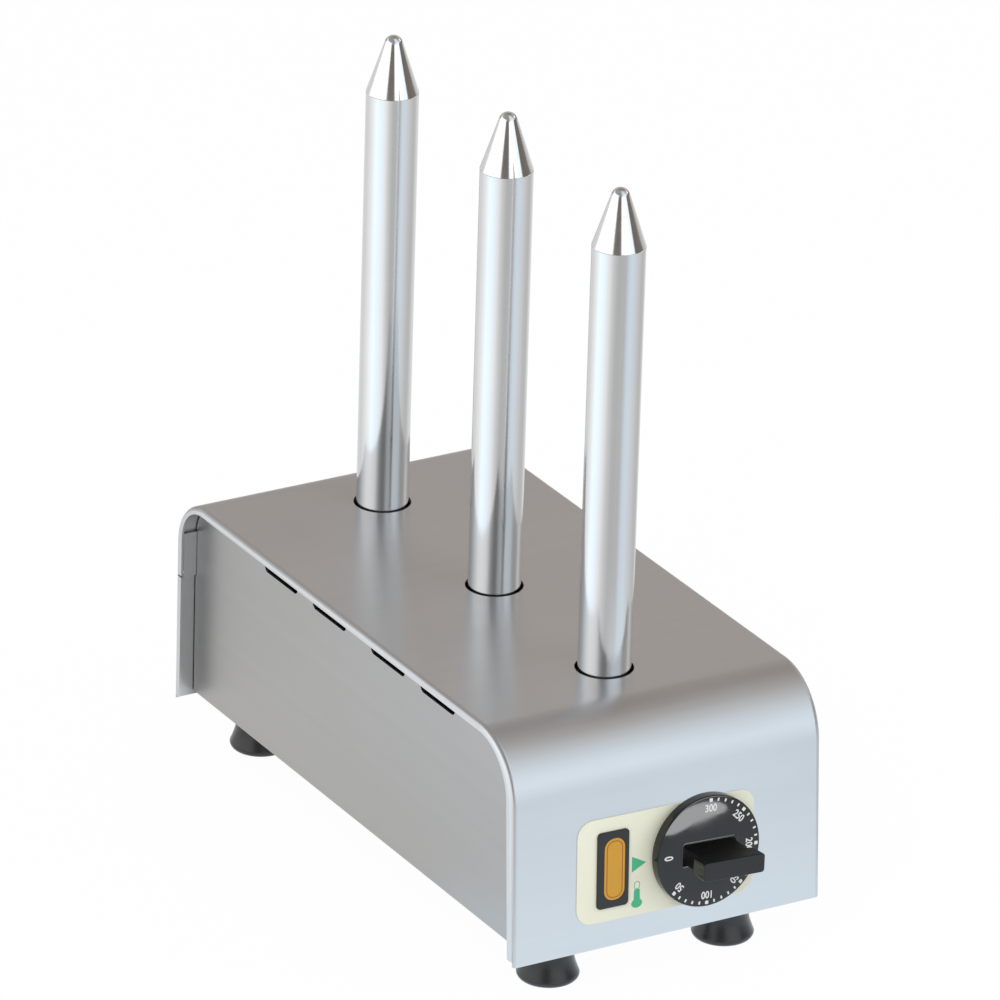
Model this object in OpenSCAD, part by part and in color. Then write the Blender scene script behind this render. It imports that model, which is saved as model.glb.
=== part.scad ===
// Three-spike hot dog grill: a stainless case with a leaning front, three heated
// spikes for the buns, a thermostat knob and four rubber feet.
// The front faces -Y, the knob side. The floor is at z = 0.

/* [Cover] */
// Width of the case across the cover
cover_w = 164.5; // [150:0.5:200]
// Length of the case along the bottom edge
cover_l = 325; // [315:1:380]
// Height of the cover from its bottom edge to its top
cover_h = 108; // [104:1:130]
// Lean of the front face in degrees
front_lean = 3.5; // [0:0.5:8]
// Outside radius of the bend from front to top
front_bend_r = 32; // [20:1:36]
// Outside radius of the bend from top to rear
rear_bend_r = 25; // [15:1:32]
// Thickness of the sheet steel
sheet_t = 1.2; // [0.8:0.1:1.6]
// Step of the sheet where the front bend starts
bend_step = 0.02; // [0.01:0.01:0.05]
// Outside radius of the turned-in side edges
edge_r = 3; // [2:0.5:4]
// Depth of the turned-in edge at the front
front_lip = 5.5; // [4:0.5:8]
// Depth of the turned-in edge along the top
top_lip = 3.4; // [3.2:0.1:6]
// Depth of the turned-in edge at the rear
rear_lip = 5.5; // [4:0.5:8]
// Height at which the turned-in edges stop above the bottom edge
lip_relief = 2.4; // [1:0.2:5]

/* [Rear panel] */
// Distance of the seam between cover and rear panel below the rear bend
seam_below = 17; // [14:0.5:24]
// Open width of that seam
seam_gap = 1; // [0.5:0.1:2]
// Clearance between the rear panel's tongue and the rear bend
tongue_clear = 0.5; // [0.2:0.1:2]
// Height of the step that joins the tongue to the rear panel
tongue_lap = 1.5; // [1.2:0.1:3]

/* [Side panels] */
// Distance from the cover's edge to the face of the side panel
panel_recess = 10; // [7:0.5:16]
// Height of the side panel's bottom edge above the cover's bottom edge
panel_rise = 2; // [1:0.5:4]
// Open seam between the side panel and the sheets around it
panel_seam = 0.6; // [0.3:0.1:0.9]
// Width of the side panel's bottom flange
bottom_flange = 10; // [8:1:12]
// Width of the side panel's other flanges
panel_flange = 12; // [8:1:16]
// Distance from the ends of the flanges to the corners
flange_relief = 4; // [2:0.5:6]
// Length of a vent slot
slot_l = 32; // [20:1:38]
// Height of a vent slot
slot_h = 6; // [3:0.5:8]
// Distance from the top of the case to the middle of the slots
slot_drop = 12; // [9:0.5:20]
// Distance between the two slots of a pair
slot_pitch = 46.5; // [42:0.5:50]
// Distance between the two middle slots
slot_pair_gap = 55.5; // [45:0.5:60]
// Distance of the slot row's middle behind the middle of the case
slot_shift = 3; // [-4:0.5:10]

/* [Feet] */
// Height of the cover's bottom edge above the floor
floor_gap = 24; // [18:1:32]
// Widest radius of a foot
foot_r = 14.7; // [12:0.1:18]
// Radius of the round at the foot's lower edge
foot_round_r = 3; // [2:0.5:4]
// Radius of the foot halfway up
foot_waist_r = 12; // [10:0.5:13]
// Height of that waist above the floor
foot_waist_h = 11.5; // [10:0.5:16]
// Radius of the foot's top
foot_top_r = 11; // [9:0.5:12]
// Distance of the feet from the cover's side edges
foot_inset_x = 35.3; // [30:0.1:40]
// Distance of the front feet from the front edge
foot_inset_front = 27.6; // [22:0.1:40]
// Distance of the rear feet from the rear edge
foot_inset_rear = 23; // [20:0.5:40]
// Depth of the pocket for the screw head in the foot
foot_pocket_h = 10; // [8:0.5:14]
// Radius of that pocket
foot_pocket_r = 6.5; // [6:0.5:8]

/* [Spikes] */
// Outside diameter of a spike
spike_d = 25; // [20:0.5:28]
// Wall of the spike's tube
spike_wall = 1.5; // [1:0.1:2.5]
// Height of the tube above the top of the case
spike_h = 210; // [150:1:260]
// Distance of the front spike from the front edge
spike_front = 64; // [62:0.5:72]
// Distance of the rear spike from the rear edge
spike_rear = 53.5; // [52:0.5:60]
// Distance of the middle spike in front of the middle between the other two
spike_mid_shift = 2.75; // [0:0.25:6]
// Clearance between the spike and its hole in the cover, on the radius
spike_hole_clear = 1.25; // [0.5:0.05:2]
// Depth of the rail's top below the top of the case
rail_drop = 42; // [36:1:50]
// Radius of the collar that seats the spike on the rail
collar_r = 16; // [15:0.5:18]
// Thickness of that collar
collar_t = 5; // [3:0.5:8]
// Width across the flats of the spike's lock nut
lock_nut_af = 32; // [30:0.5:38]
// Thickness of the lock nut
lock_nut_t = 6; // [4:0.5:8]
// Length of tube that shows below the lock nut
spike_tail = 1.5; // [0.5:0.5:4]

/* [Spike tips] */
// Height of the cone tip
tip_h = 28; // [20:0.5:36]
// Radius of the rounded end of the tip
tip_end_r = 4.5; // [3:0.1:6]
// Length of the spigot that holds the tip in the tube
tip_spigot_l = 9; // [7:0.5:14]
// Depth of the heater's socket in the spigot
tip_socket_l = 5; // [3:0.5:6]

/* [Heaters] */
// Radius of the heater's sheath
heater_r = 5; // [4:0.25:6]
// Height of the heater's ceramic bead
bead_h = 6; // [4:0.5:8]
// Radius of the bead
bead_r = 6.5; // [6.2:0.1:9]
// Radius of a terminal pin
pin_r = 1; // [0.8:0.1:1.4]
// Length of a terminal pin
pin_l = 10; // [8:0.5:12]
// Distance of a pin from the heater's axis
pin_off = 3; // [2.5:0.1:3.5]
// Length of the ceramic bush that centres the heater in the tube
bush_l = 12; // [8:0.5:16]

/* [Spike rail] */
// Width of the rail that carries the spikes
rail_w = 60; // [58:1:66]
// Thickness of the rail's steel
rail_t = 2; // [1.5:0.1:3]
// Width of the rail's bottom flanges
rail_flange = 10; // [9:0.5:10.5]
// Length of the rail past the outer spikes
rail_end = 19; // [18.5:0.5:22]

/* [Label] */
// Width of the label behind the knob
label_w = 94; // [80:1:110]
// Height of the label
label_h = 51; // [44:1:60]
// Corner radius of the label
label_r = 8; // [3:0.5:10]
// Thickness of the label
label_t = 0.5; // [0.3:0.1:0.8]
// Sideways place of the label's middle
label_x = -1.5; // [-10:0.5:10]
// Place of the label's middle up the front face
label_up = 38; // [34:0.5:44]
// Clockwise turn of the label in degrees, as it is stuck on
label_turn = 1; // [0:0.5:3]
// Width of the dark plate on the label
badge_w = 16.6; // [12:0.1:20]
// Height of the dark plate
badge_h = 37.6; // [30:0.1:42]
// Corner radius of the dark plate
badge_r = 2; // [1:0.5:4]
// Distance of the dark plate's middle from the label's middle
badge_off = 28.4; // [24:0.1:33]
// Width of the dark rim on both sides of the amber field
rim_side = 2.8; // [1.5:0.1:3.5]
// Width of the dark rim above and below the amber field
rim_end = 3.5; // [2:0.1:8]
// Corner radius of the amber field
field_r = 3.5; // [1:0.1:4.5]
// Sideways shift of the amber field from the dark plate's middle
field_shift = 0.7; // [0:0.1:1]

/* [Knob] */
// Diameter of the knob's disc
knob_d = 54.5; // [48:0.5:58]
// Thickness of the disc
knob_t = 5.5; // [5.2:0.1:8]
// Gap between the front face and the back of the knob
knob_gap = 2.8; // [2.6:0.1:4]
// Sideways place of the knob's axis
knob_x = 17; // [12:0.5:24]
// Place of the knob's axis up the front face
knob_up = 39.8; // [37:0.1:42]
// Clockwise turn of the knob at rest in degrees
knob_rest = 2.5; // [0:0.5:5]
// Width of the finger bar
bar_w = 32.4; // [28:0.1:38]
// Thickness of the finger bar at its front
bar_h = 9.2; // [9:0.1:12]
// Thickness of the finger bar's head at its back
bar_back_h = 8.6; // [8.5:0.1:9]
// Depth of the finger bar's head
bar_depth = 9.6; // [6:0.1:10]
// Reach of the finger bar in front of the disc
bar_reach = 22.5; // [20:0.5:28]
// Width of the stem behind the bar
stem_w = 26; // [20:0.5:27]
// Thickness of the stem
stem_h = 8.4; // [8.2:0.1:8.8]
// Gap of the well round the stem
well_gap = 1.1; // [0.6:0.1:1.6]
// Depth of the well in the disc
well_depth = 4; // [2:0.5:4.5]
// Bevel of the disc's front edge
knob_edge = 1; // [0.4:0.1:2]
// Thickness of the spring clip in the knob
clip_t = 0.8; // [0.5:0.05:0.8]
// Width of the spring clip
clip_w = 3.4; // [2.4:0.1:3.4]
// Length of the spring clip
clip_l = 9; // [6:0.5:10]

/* [Thermostat] */
// Radius of the thermostat's shaft
shaft_r = 3; // [2.5:0.1:3.2]
// Length of the shaft in front of the case
shaft_reach = 14; // [10:0.5:16]
// Distance from the shaft's axis to its flat
shaft_flat = 1.6; // [1.4:0.1:2.2]
// Width of the thermostat's body
stat_w = 40; // [34:1:44]
// Height of the thermostat's body
stat_h = 44; // [36:1:46]
// Depth of the thermostat's body
stat_depth = 28; // [24:0.5:30]
// Width of the thermostat's mounting plate
stat_plate_w = 46; // [40:1:50]
// Height of the mounting plate
stat_plate_h = 30; // [24:1:34]
// Thickness of the mounting plate
stat_plate_t = 1.5; // [1:0.1:2.5]
// Radius of the thermostat's bush through the case
stat_bush_r = 5; // [4.6:0.1:6]
// Distance of the thermostat's screws from the shaft
stat_screw_off = 14; // [12:0.5:16]
// Head height of the thermostat's screws
stat_screw_head_h = 1.7; // [1.2:0.1:2]
// Length of the thermostat's screws
stat_screw_l = 8; // [6:0.5:12]
// Radius of the collar on the shaft
shaft_collar_r = 5.5; // [4.5:0.1:6.5]
// Thickness of the collar on the shaft
shaft_collar_t = 4; // [2:0.5:6]
// Length of the shaft behind its collar
shaft_tail_l = 5; // [3:0.5:8]
// Width of a terminal blade
blade_w = 6.3; // [4.8:0.1:6.3]
// Thickness of a terminal blade
blade_t = 0.8; // [0.6:0.1:1]
// Length of a terminal blade
blade_l = 7; // [5:0.5:8]
// Distance of the terminal blades above and below the shaft's axis
blade_up = 8; // [6:0.5:12]
// Radius of the sensing bulb
bulb_r = 3; // [2.5:0.1:3.2]
// Length of the sensing bulb
bulb_l = 60; // [40:1:70]
// Width of the clip that holds the bulb
bulb_clip_w = 8; // [5:0.5:12]
// Thickness of the clip
bulb_clip_t = 1; // [0.6:0.1:1.2]
// Distance of the clip's foot from the edge of the rail
clip_margin = 1.7; // [0.5:0.1:2]
// Radius of the capillary tube
capillary_r = 0.9; // [0.6:0.1:1.2]

/* [Supply] */
// Distance of the cable gland from the face of the side panel
gland_inset = 27.25; // [26:0.25:34]
// Distance of the cable gland below the middle between bottom plate and tongue
gland_low = 5.95; // [3:0.05:8]
// Radius of the gland's bore
gland_bore_r = 4.2; // [3.5:0.1:5]
// Radius of the gland's thread
gland_thread_r = 9.2; // [8:0.1:10]
// Reach of the gland behind the rear panel
gland_reach = 18; // [14:0.5:24]
// Width across the flats of the gland's hexagon
gland_hex_af = 22; // [20:0.5:24]
// Thickness of that hexagon
gland_hex_t = 5; // [4:0.5:6]
// Radius of the gland's dome at the hexagon
gland_dome_r = 10; // [8:0.5:10.5]
// Radius of the gland's dome at its mouth
gland_mouth_r = 7; // [6:0.5:8]
// Width across the flats of the gland's lock nut
gland_nut_af = 24; // [22:0.5:26]
// Thickness of that lock nut
gland_nut_t = 5; // [3:0.5:6]
// Width of the terminal block
block_w = 36; // [30:1:40]
// Depth of the terminal block
block_l = 20; // [16:1:24]
// Height of the terminal block
block_h = 16; // [12:1:20]
// Distance of the terminal block's middle from the rear edge
block_inset = 21; // [20:0.5:22]
// Radius of a screw well in the terminal block
block_well_r = 2.4; // [2:0.1:3]
// Radius of an insulated wire
wire_r = 1.3; // [1:0.1:1.5]
// Width of a connector on a heater's pin
connector_w = 5; // [4:0.1:5.4]
// Length of that connector
connector_l = 10; // [8:0.5:14]
// Height of that connector
connector_h = 8; // [6:0.5:9]
// Length of the pin inside the connector
connector_grip = 5; // [3:0.5:5]
// Distance of the earth stud from the terminal block's middle
earth_inset = 40; // [30:1:60]
// Radius of the earth stud
earth_r = 2.5; // [2:0.1:3]
// Length of the earth stud above the underside of the bottom plate
earth_l = 12; // [10:0.5:16]
// Head radius of the earth stud
earth_head_r = 4.5; // [4:0.1:5]
// Head height of the earth stud
earth_head_h = 1.6; // [1:0.1:2]
// Radius of the ring lug on the earth stud
lug_r = 5; // [4:0.1:6]
// Thickness of the lug
lug_t = 0.8; // [0.6:0.1:1]
// Radius of the lug's barrel
barrel_r = 2; // [1.8:0.1:2.4]
// Length of the lug's barrel
barrel_l = 7; // [5:0.5:9]

/* [Fasteners] */
// Shank radius of the small screws
screw_r = 1.9; // [1.5:0.1:2]
// Head radius of the small screws
screw_head_r = 3.7; // [3:0.1:4]
// Head height of the small screws
screw_head_h = 2; // [1.5:0.1:2.4]
// Head height of the rail's rivets
rivet_head_h = 1; // [0.8:0.1:1.5]
// Shank radius of the foot screws
foot_screw_r = 2.5; // [2:0.1:3]
// Head radius of the foot screws
foot_head_r = 4.6; // [4:0.1:5]
// Head height of the foot screws
foot_head_h = 3.2; // [2.5:0.1:4]
// Thickness of the foot washers
washer_t = 1; // [0.8:0.1:1.5]
// Radius of the foot washers
washer_r = 6; // [5:0.1:6.2]
// Width across the flats of the foot nuts
nut_af = 8; // [7:0.1:9]
// Thickness of the foot nuts
nut_t = 4; // [3:0.1:5]
// Length of thread past a nut
thread_past = 1.5; // [0.5:0.1:3]

/* [Fits] */
// Clearance of a screw in its hole, on the radius
screw_clear = 0.2; // [0.1:0.05:0.4]
// Clearance between pieces that slide into each other, on the radius
slip = 0.1; // [0.05:0.01:0.2]
// Clearance of the turning shaft in its bush, on the radius
shaft_clear = 0.05; // [0.02:0.01:0.09]
// Clearance between sheets that lie in the same plane
sheet_clear = 0.3; // [0.2:0.05:0.5]
// Overrun of a cut past the surface that it opens
over = 0.5; // [0.2:0.1:1]

/* [Hidden] */
$fn = 96;
square_turn = 90;
half_turn = 180;
hex_sides = 6;
bend_steps = 24;

// Side view of the case: y runs from the front edge to the rear edge, z starts at
// the cover's bottom edge
front_y = -cover_l / 2;
rear_y = cover_l / 2;
base_z = floor_gap;
top_z = base_z + cover_h;
lean_sin = sin(front_lean);
lean_cos = cos(front_lean);
function face_y(off, z) = front_y + (off + z * lean_sin) / lean_cos;
function front_bend_z(off, r) = cover_h - off - r;
function front_bend_y(side_off, top_off, r) = face_y(side_off + r, front_bend_z(top_off, r));
bend_y = front_bend_y(0, 0, front_bend_r);
bend_z = front_bend_z(0, front_bend_r);
rear_bend_y = rear_y - rear_bend_r;
rear_bend_z = cover_h - rear_bend_r;
front_len = (bend_z + front_bend_r * lean_sin) / lean_cos;
lip_stock = max(front_lip, top_lip, rear_lip) + over;
// Points and directions in the frame of the front face: sideways, up it and out of it
function front_point(x, up, out) = [x, front_y + up * lean_sin - out * lean_cos,
    base_z + up * lean_cos + out * lean_sin];
function front_way(up, out) = front_point(0, up, out) - front_point(0, 0, 0);

// Side panels and bottom plate
panel_x = cover_w / 2 - panel_recess;
inner_x = panel_x - sheet_t;
panel_base = base_z + panel_rise;
plate_z = panel_base + sheet_t;
plate_top = plate_z + sheet_t;
plate_front = face_y(2 * sheet_t + sheet_clear, plate_top - base_z);
plate_rear = rear_y - 2 * sheet_t - sheet_clear;
slot_offsets = [-slot_pair_gap / 2 - slot_pitch, -slot_pair_gap / 2,
    slot_pair_gap / 2, slot_pair_gap / 2 + slot_pitch];
seam_h = rear_bend_z - seam_below;
tongue_z = base_z + seam_h - seam_gap - tongue_lap;
tongue_y = rear_y - 2 * sheet_t - sheet_clear;
bend_in = rear_bend_r - sheet_t;
tongue_top = base_z + rear_bend_z + sqrt((2 * bend_in - sheet_clear) * sheet_clear) - tongue_clear;

// Screws of the bottom plate and the rear panel
bottom_screw_x = inner_x - bottom_flange / 2;
bottom_screw_ys = [plate_front + panel_flange, 0, plate_rear - panel_flange];
rear_screw_x = inner_x - panel_flange / 2;
rear_screw_low = panel_base + panel_flange;
rear_screw_high = tongue_z - panel_flange;
tongue_screw_x = cover_w / 4;
tongue_screw_z = (base_z + seam_h + tongue_top) / 2;

// Spikes and their rail
spike_r = spike_d / 2;
bore_r = spike_r - spike_wall;
spike_ys = [front_y + spike_front, (spike_front - spike_rear) / 2 - spike_mid_shift,
    rear_y - spike_rear];
rail_top = top_z - rail_drop;
tube_base = rail_top - rail_t - lock_nut_t - spike_tail;
tube_top = top_z + spike_h;
rail_y0 = spike_ys[0] - rail_end;
rail_y1 = spike_ys[2] + rail_end;
rivet_x = rail_w / 2 + rail_flange / 2;
rivet_ys = [rail_y0 + rail_flange, rail_y1 - rail_flange];
tip_ball_z = tip_h - tip_end_r;
tip_slope = acos(tip_end_r / norm([spike_r, tip_ball_z])) - atan(tip_ball_z / spike_r);
pin_base = tube_base - bead_h - pin_l;

// Feet
foot_places = [[-1, -1], [1, -1], [-1, 1], [1, 1]];
function foot_y(end) = end < 0 ? front_y + foot_inset_front : rear_y - foot_inset_rear;
foot_x = cover_w / 2 - foot_inset_x;
foot_hole_r = foot_screw_r + screw_clear;
washer_z = foot_pocket_h - washer_t;

// Knob and thermostat, measured along the shaft from the front face
knob_r = knob_d / 2;
knob_front = knob_gap + knob_t;
bar_front = knob_front + bar_reach;
bar_back = bar_front - bar_depth;
well_floor = knob_front - well_depth;
bush_hole_r = stat_bush_r + sheet_clear;
stat_front = -sheet_t;
stat_box_front = stat_front - stat_plate_t;
stat_back = stat_box_front - stat_depth;
blade_end = stat_back - blade_l;
collar_cell_front = stat_box_front - 2 * sheet_t;
collar_cell_l = shaft_collar_t + 2 * sheet_clear;
collar_cell_back = collar_cell_front - collar_cell_l;
bulb_x = collar_r + bulb_r + sheet_clear;
bulb_y0 = rail_y0 + rail_end / 4;
bulb_tab = rail_w / 2 - clip_margin - bulb_x - bulb_r;

// Label
field_w = badge_w - 2 * rim_side;
field_h = badge_h - 2 * rim_end;

// Terminal block, gland, earth stud and wires
block_y = rear_y - block_inset;
block_front = block_y - block_l / 2;
block_poles = [-1, 0, 1];
block_pitch = block_w / 3;
block_tunnel_r = block_well_r - slip;
block_tunnel_z = plate_top + block_h / 3;
connector_z = pin_base + connector_grip - connector_h;
wire_z = connector_z + connector_h / 2;
gland_x = panel_x - gland_inset;
gland_z = (plate_top + tongue_z) / 2 - gland_low;
gland_thread_l = sheet_t + gland_nut_t + thread_past;
earth_x = -block_pitch;
earth_y = block_y - earth_inset;
wire_rings = 16;
wire_sides = 8;

// The part's box is centred on the origin, so the whole part is shifted along Y
bar_low_up = knob_up - bar_h / 2 * cos(knob_rest) - bar_w / 2 * sin(knob_rest);
front_reach = -front_y - bar_low_up * lean_sin + bar_front * lean_cos;
rear_reach = rear_y + gland_reach;
origin_shift = (front_reach - rear_reach) / 2;

steel = [0.72, 0.73, 0.75];
warm_steel = [0.62, 0.61, 0.6];
bright_steel = [0.82, 0.84, 0.86];
zinc = [0.66, 0.67, 0.68];
black_plastic = [0.08, 0.08, 0.09];
rubber = [0.12, 0.12, 0.12];
cream = [0.91, 0.9, 0.78];
charcoal = [0.2, 0.19, 0.18];
amber = [0.8, 0.58, 0.16];
ceramic = [0.88, 0.86, 0.8];
brass = [0.78, 0.65, 0.35];
copper = [0.72, 0.45, 0.3];

// Frames of reference

module on_body() {
    translate([0, origin_shift, 0]) children();
}

// x to the right, y up the leaning face, z straight out of it
module on_front(x, up) {
    translate([x, front_y, base_z])
        rotate([square_turn - front_lean, 0, 0])
            translate([0, up, 0])
                children();
}

module on_shaft() {
    on_front(knob_x, knob_up) children();
}

// What turns with the knob, as it stands at rest
module on_knob() {
    on_shaft() rotate([0, 0, -knob_rest]) children();
}

module on_label() {
    on_front(label_x, label_up) rotate([0, 0, -label_turn]) children();
}

// An outline in the side view, pulled across the case from x0 to x1
module across(x0, x1) {
    translate([x0, 0, base_z])
        rotate([square_turn, 0, square_turn])
            linear_extrude(x1 - x0)
                children();
}

module both_sides() {
    for (side = [-1, 1])
        scale([side, 1, 1])
            children();
}

// Shared outlines

// A bend in the side view: 0 degrees faces the front, 90 degrees faces up
function bend_points(y, z, r, from, to) = [for (k = [0:bend_steps])
    let (angle = from + (to - from) * k / bend_steps)
    [y - r * cos(angle), z + r * sin(angle)]];

// Side view of the case, moved in from the front, top, rear and bottom
module case_outline(front_off, top_off, rear_off, base_off, front_r, rear_r) {
    polygon(concat(
        [[face_y(front_off, base_off), base_off]],
        bend_points(front_bend_y(front_off, top_off, front_r), front_bend_z(top_off, front_r),
            front_r, front_lean, square_turn),
        bend_points(rear_y - rear_off - rear_r, cover_h - top_off - rear_r,
            rear_r, square_turn, half_turn),
        [[rear_y - rear_off, base_off]]
    ));
}

// Sheet with rounded side edges, seen along the sheet: the outside is at y = 0
module round_shouldered(w, r, depth) {
    translate([-w / 2 + r, -depth]) square([w - 2 * r, depth]);
    translate([-w / 2, -depth]) square([w, depth - r]);
    for (side = [-1, 1])
        translate([side * (w / 2 - r), -r]) circle(r);
}

module sheet_section(step) {
    inner = sheet_t - step;
    difference() {
        translate([0, -step])
            round_shouldered(cover_w - 2 * step, edge_r - step, lip_stock);
        translate([0, -inner])
            round_shouldered(cover_w - 2 * inner, edge_r - inner, lip_stock);
    }
}

// Everything inside the turned-in edges
module lip_opening() {
    across(-cover_w / 2 - over, cover_w / 2 + over)
        case_outline(front_lip, top_lip, rear_lip, -lip_stock, front_bend_r - front_lip,
            rear_bend_r - rear_lip);
    translate([-cover_w / 2 - over, front_y + edge_r / 2, base_z - lip_stock])
        cube([cover_w + 2 * over, cover_l - edge_r, lip_stock + lip_relief]);
}

module rounded_plate(w, h, r, t) {
    linear_extrude(t) {
        square([w - 2 * r, h], center = true);
        square([w, h - 2 * r], center = true);
        for (sx = [-1, 1], sy = [-1, 1])
            translate([sx * (w / 2 - r), sy * (h / 2 - r)]) circle(r);
    }
}

module hex_nut(af, t, hole_r) {
    difference() {
        rotate([0, 0, half_turn / hex_sides])
            cylinder(h = t, d = af / cos(half_turn / hex_sides), $fn = hex_sides);
        translate([0, 0, -over]) cylinder(h = t + 2 * over, r = hole_r);
    }
}

// A screw whose head lies below z = 0 and whose shank runs up
module screw(shank_r, head_r, head_h, length) {
    translate([0, 0, -head_h]) cylinder(h = head_h, r = head_r);
    cylinder(h = length, r = shank_r);
}

module hole(r, length) {
    translate([0, 0, -over]) cylinder(h = length + 2 * over, r = r);
}

// Wires: a round wire swept along a cubic curve between two points
function curve_point(a, da, b, db, s) =
    pow(1 - s, 3) * a + 3 * s * pow(1 - s, 2) * (a + da) + 3 * s * s * (1 - s) * (b + db)
    + pow(s, 3) * b;
function curve_heading(a, da, b, db, s) =
    let (v = pow(1 - s, 2) * da + 2 * s * (1 - s) * (b + db - a - da) - s * s * db)
    v / norm(v);
function ring(centre, heading, guide, r) =
    let (u = cross(heading, guide) / norm(cross(heading, guide)), w = cross(heading, u))
    [for (k = [0:wire_sides - 1])
        let (angle = 2 * half_turn * k / wire_sides)
        centre + r * (cos(angle) * u + sin(angle) * w)];

module wire(a, da, b, db, guide, r) {
    rings = [for (k = [0:wire_rings])
        ring(curve_point(a, da, b, db, k / wire_rings),
            curve_heading(a, da, b, db, k / wire_rings), guide, r)];
    points = [for (one = rings) for (p = one) p];
    sides = [for (k = [0:wire_rings - 1]) for (j = [0:wire_sides - 1])
        let (n = (j + 1) % wire_sides, lo = k * wire_sides, hi = (k + 1) * wire_sides)
        [lo + j, lo + n, hi + n, hi + j]];
    start_cap = [[for (j = [0:wire_sides - 1]) wire_sides - 1 - j]];
    end_cap = [[for (j = [0:wire_sides - 1]) wire_rings * wire_sides + j]];
    polyhedron(points, concat(start_cap, sides, end_cap), convexity = 4);
}

// Case

// A wall that faces +Y below a bend through the given turn, seen from the bend's centre
module bent_wall(r, turn, length, step) {
    translate([0, r, -length])
        linear_extrude(length)
            sheet_section(step);
    rotate([0, square_turn, 0])
        rotate([0, 0, square_turn])
            rotate_extrude(angle = turn)
                translate([r, 0])
                    rotate(-square_turn)
                        sheet_section(step);
}

// The flat top runs a little way over the front bend, which is set in by a small step
module cover_sheet() {
    translate([0, bend_y, base_z + bend_z])
        rotate([-front_lean, 0, 0])
            mirror([0, 1, 0])
                bent_wall(front_bend_r, square_turn - front_lean, front_len, bend_step);
    translate([0, rear_bend_y, top_z])
        rotate([square_turn, 0, 0])
            linear_extrude(rear_bend_y - bend_y + over)
                sheet_section(0);
    translate([0, rear_bend_y, base_z + rear_bend_z])
        bent_wall(rear_bend_r, square_turn, rear_bend_z - seam_h, 0);
}

module cover() {
    color(steel)
        on_body()
            difference() {
                cover_sheet();
                lip_opening();
                for (y = spike_ys)
                    translate([0, y, top_z - sheet_t])
                        hole(spike_r + spike_hole_clear, sheet_t);
                on_shaft()
                    translate([0, 0, -sheet_t]) {
                        hole(bush_hole_r, sheet_t);
                        for (side = [-1, 1])
                            translate([side * stat_screw_off, 0, 0])
                                hole(screw_r + screw_clear, sheet_t);
                    }
                tongue_screw_holes();
            }
}

module tongue_screw_holes() {
    for (side = [-1, 1])
        translate([side * tongue_screw_x, rear_y, tongue_screw_z])
            rotate([square_turn, 0, 0])
                hole(screw_r + screw_clear, 2 * sheet_t + sheet_clear);
}

module rear_screw_holes() {
    for (side = [-1, 1], z = [rear_screw_low, rear_screw_high])
        translate([side * rear_screw_x, rear_y, z])
            rotate([square_turn, 0, 0])
                hole(screw_r + screw_clear, 2 * sheet_t);
}

// The panel steps in at its upper edge and runs on behind the cover as a tongue
module rear_panel() {
    tongue_w = cover_w - 2 * edge_r;
    color(steel)
        on_body()
            difference() {
                union() {
                    translate([0, rear_y, base_z])
                        linear_extrude(seam_h - seam_gap)
                            sheet_section(0);
                    translate([-tongue_w / 2, tongue_y, tongue_z]) {
                        cube([tongue_w, sheet_t + sheet_clear, tongue_lap]);
                        cube([tongue_w, sheet_t, tongue_top - tongue_z]);
                    }
                }
                rear_lip_opening();
                tongue_screw_holes();
                rear_screw_holes();
                translate([gland_x, rear_y, gland_z])
                    rotate([square_turn, 0, 0])
                        hole(gland_thread_r + slip, sheet_t);
            }
}

// The rear panel's edges are as deep as the cover's, but the tongue is left whole
module rear_lip_opening() {
    for (side = [-1, 1])
        translate([side * (cover_w / 2 - edge_r / 2), rear_y - rear_lip - lip_stock / 2, base_z])
            cube([edge_r + 2 * over, lip_stock, 2 * cover_h], center = true);
    translate([-cover_w / 2 - over, rear_y - lip_stock - over, base_z - over])
        cube([cover_w + 2 * over, lip_stock + over - edge_r / 2, lip_relief + over]);
}

module side_slots() {
    for (off = slot_offsets)
        translate([0, slot_shift + off, top_z - slot_drop])
            rotate([square_turn, 0, square_turn])
                translate([0, 0, -panel_x - over])
                    linear_extrude(sheet_t + 2 * over) {
                        square([slot_l - slot_h, slot_h], center = true);
                        for (end = [-1, 1])
                            translate([end * (slot_l - slot_h) / 2, 0]) circle(slot_h / 2);
                    }
}

module side_panel_face() {
    gap = sheet_t + panel_seam;
    difference() {
        across(-panel_x, -inner_x)
            case_outline(gap, gap, gap, panel_rise, front_bend_r - gap, rear_bend_r - gap);
        side_slots();
        translate([-panel_x - over, tongue_y - sheet_clear, tongue_z - sheet_clear])
            cube([sheet_t + 2 * over, 2 * sheet_t + sheet_clear,
                tongue_top - tongue_z + 2 * sheet_clear]);
    }
}

// The flanges start in the middle of the face's sheet, so that each joins it
module side_panel_flanges() {
    root_x = -panel_x + sheet_t / 2;
    bottom_w = bottom_flange + sheet_t / 2;
    flange_w = panel_flange + sheet_t / 2;
    bottom_y = face_y(sheet_t + panel_seam, panel_rise + sheet_t) + flange_relief;
    bottom_end = rear_y - sheet_t - panel_seam - flange_relief;
    wall_rise = panel_rise + sheet_t + flange_relief;
    difference() {
        translate([root_x, bottom_y, panel_base])
            cube([bottom_w, bottom_end - bottom_y, sheet_t]);
        for (y = bottom_screw_ys)
            translate([-bottom_screw_x, y, panel_base])
                hole(screw_r + screw_clear, sheet_t);
    }
    translate([root_x, bend_y + flange_relief, top_z - 2 * sheet_t])
        cube([flange_w, rear_bend_y - bend_y - 2 * flange_relief, sheet_t]);
    on_front(0, 0)
        translate([root_x, wall_rise, -2 * sheet_t])
            cube([flange_w, front_len - wall_rise - flange_relief, sheet_t]);
    difference() {
        translate([root_x, rear_y - 2 * sheet_t, base_z + wall_rise])
            cube([flange_w, sheet_t, tongue_z - base_z - wall_rise - flange_relief]);
        rear_screw_holes();
    }
}

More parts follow.
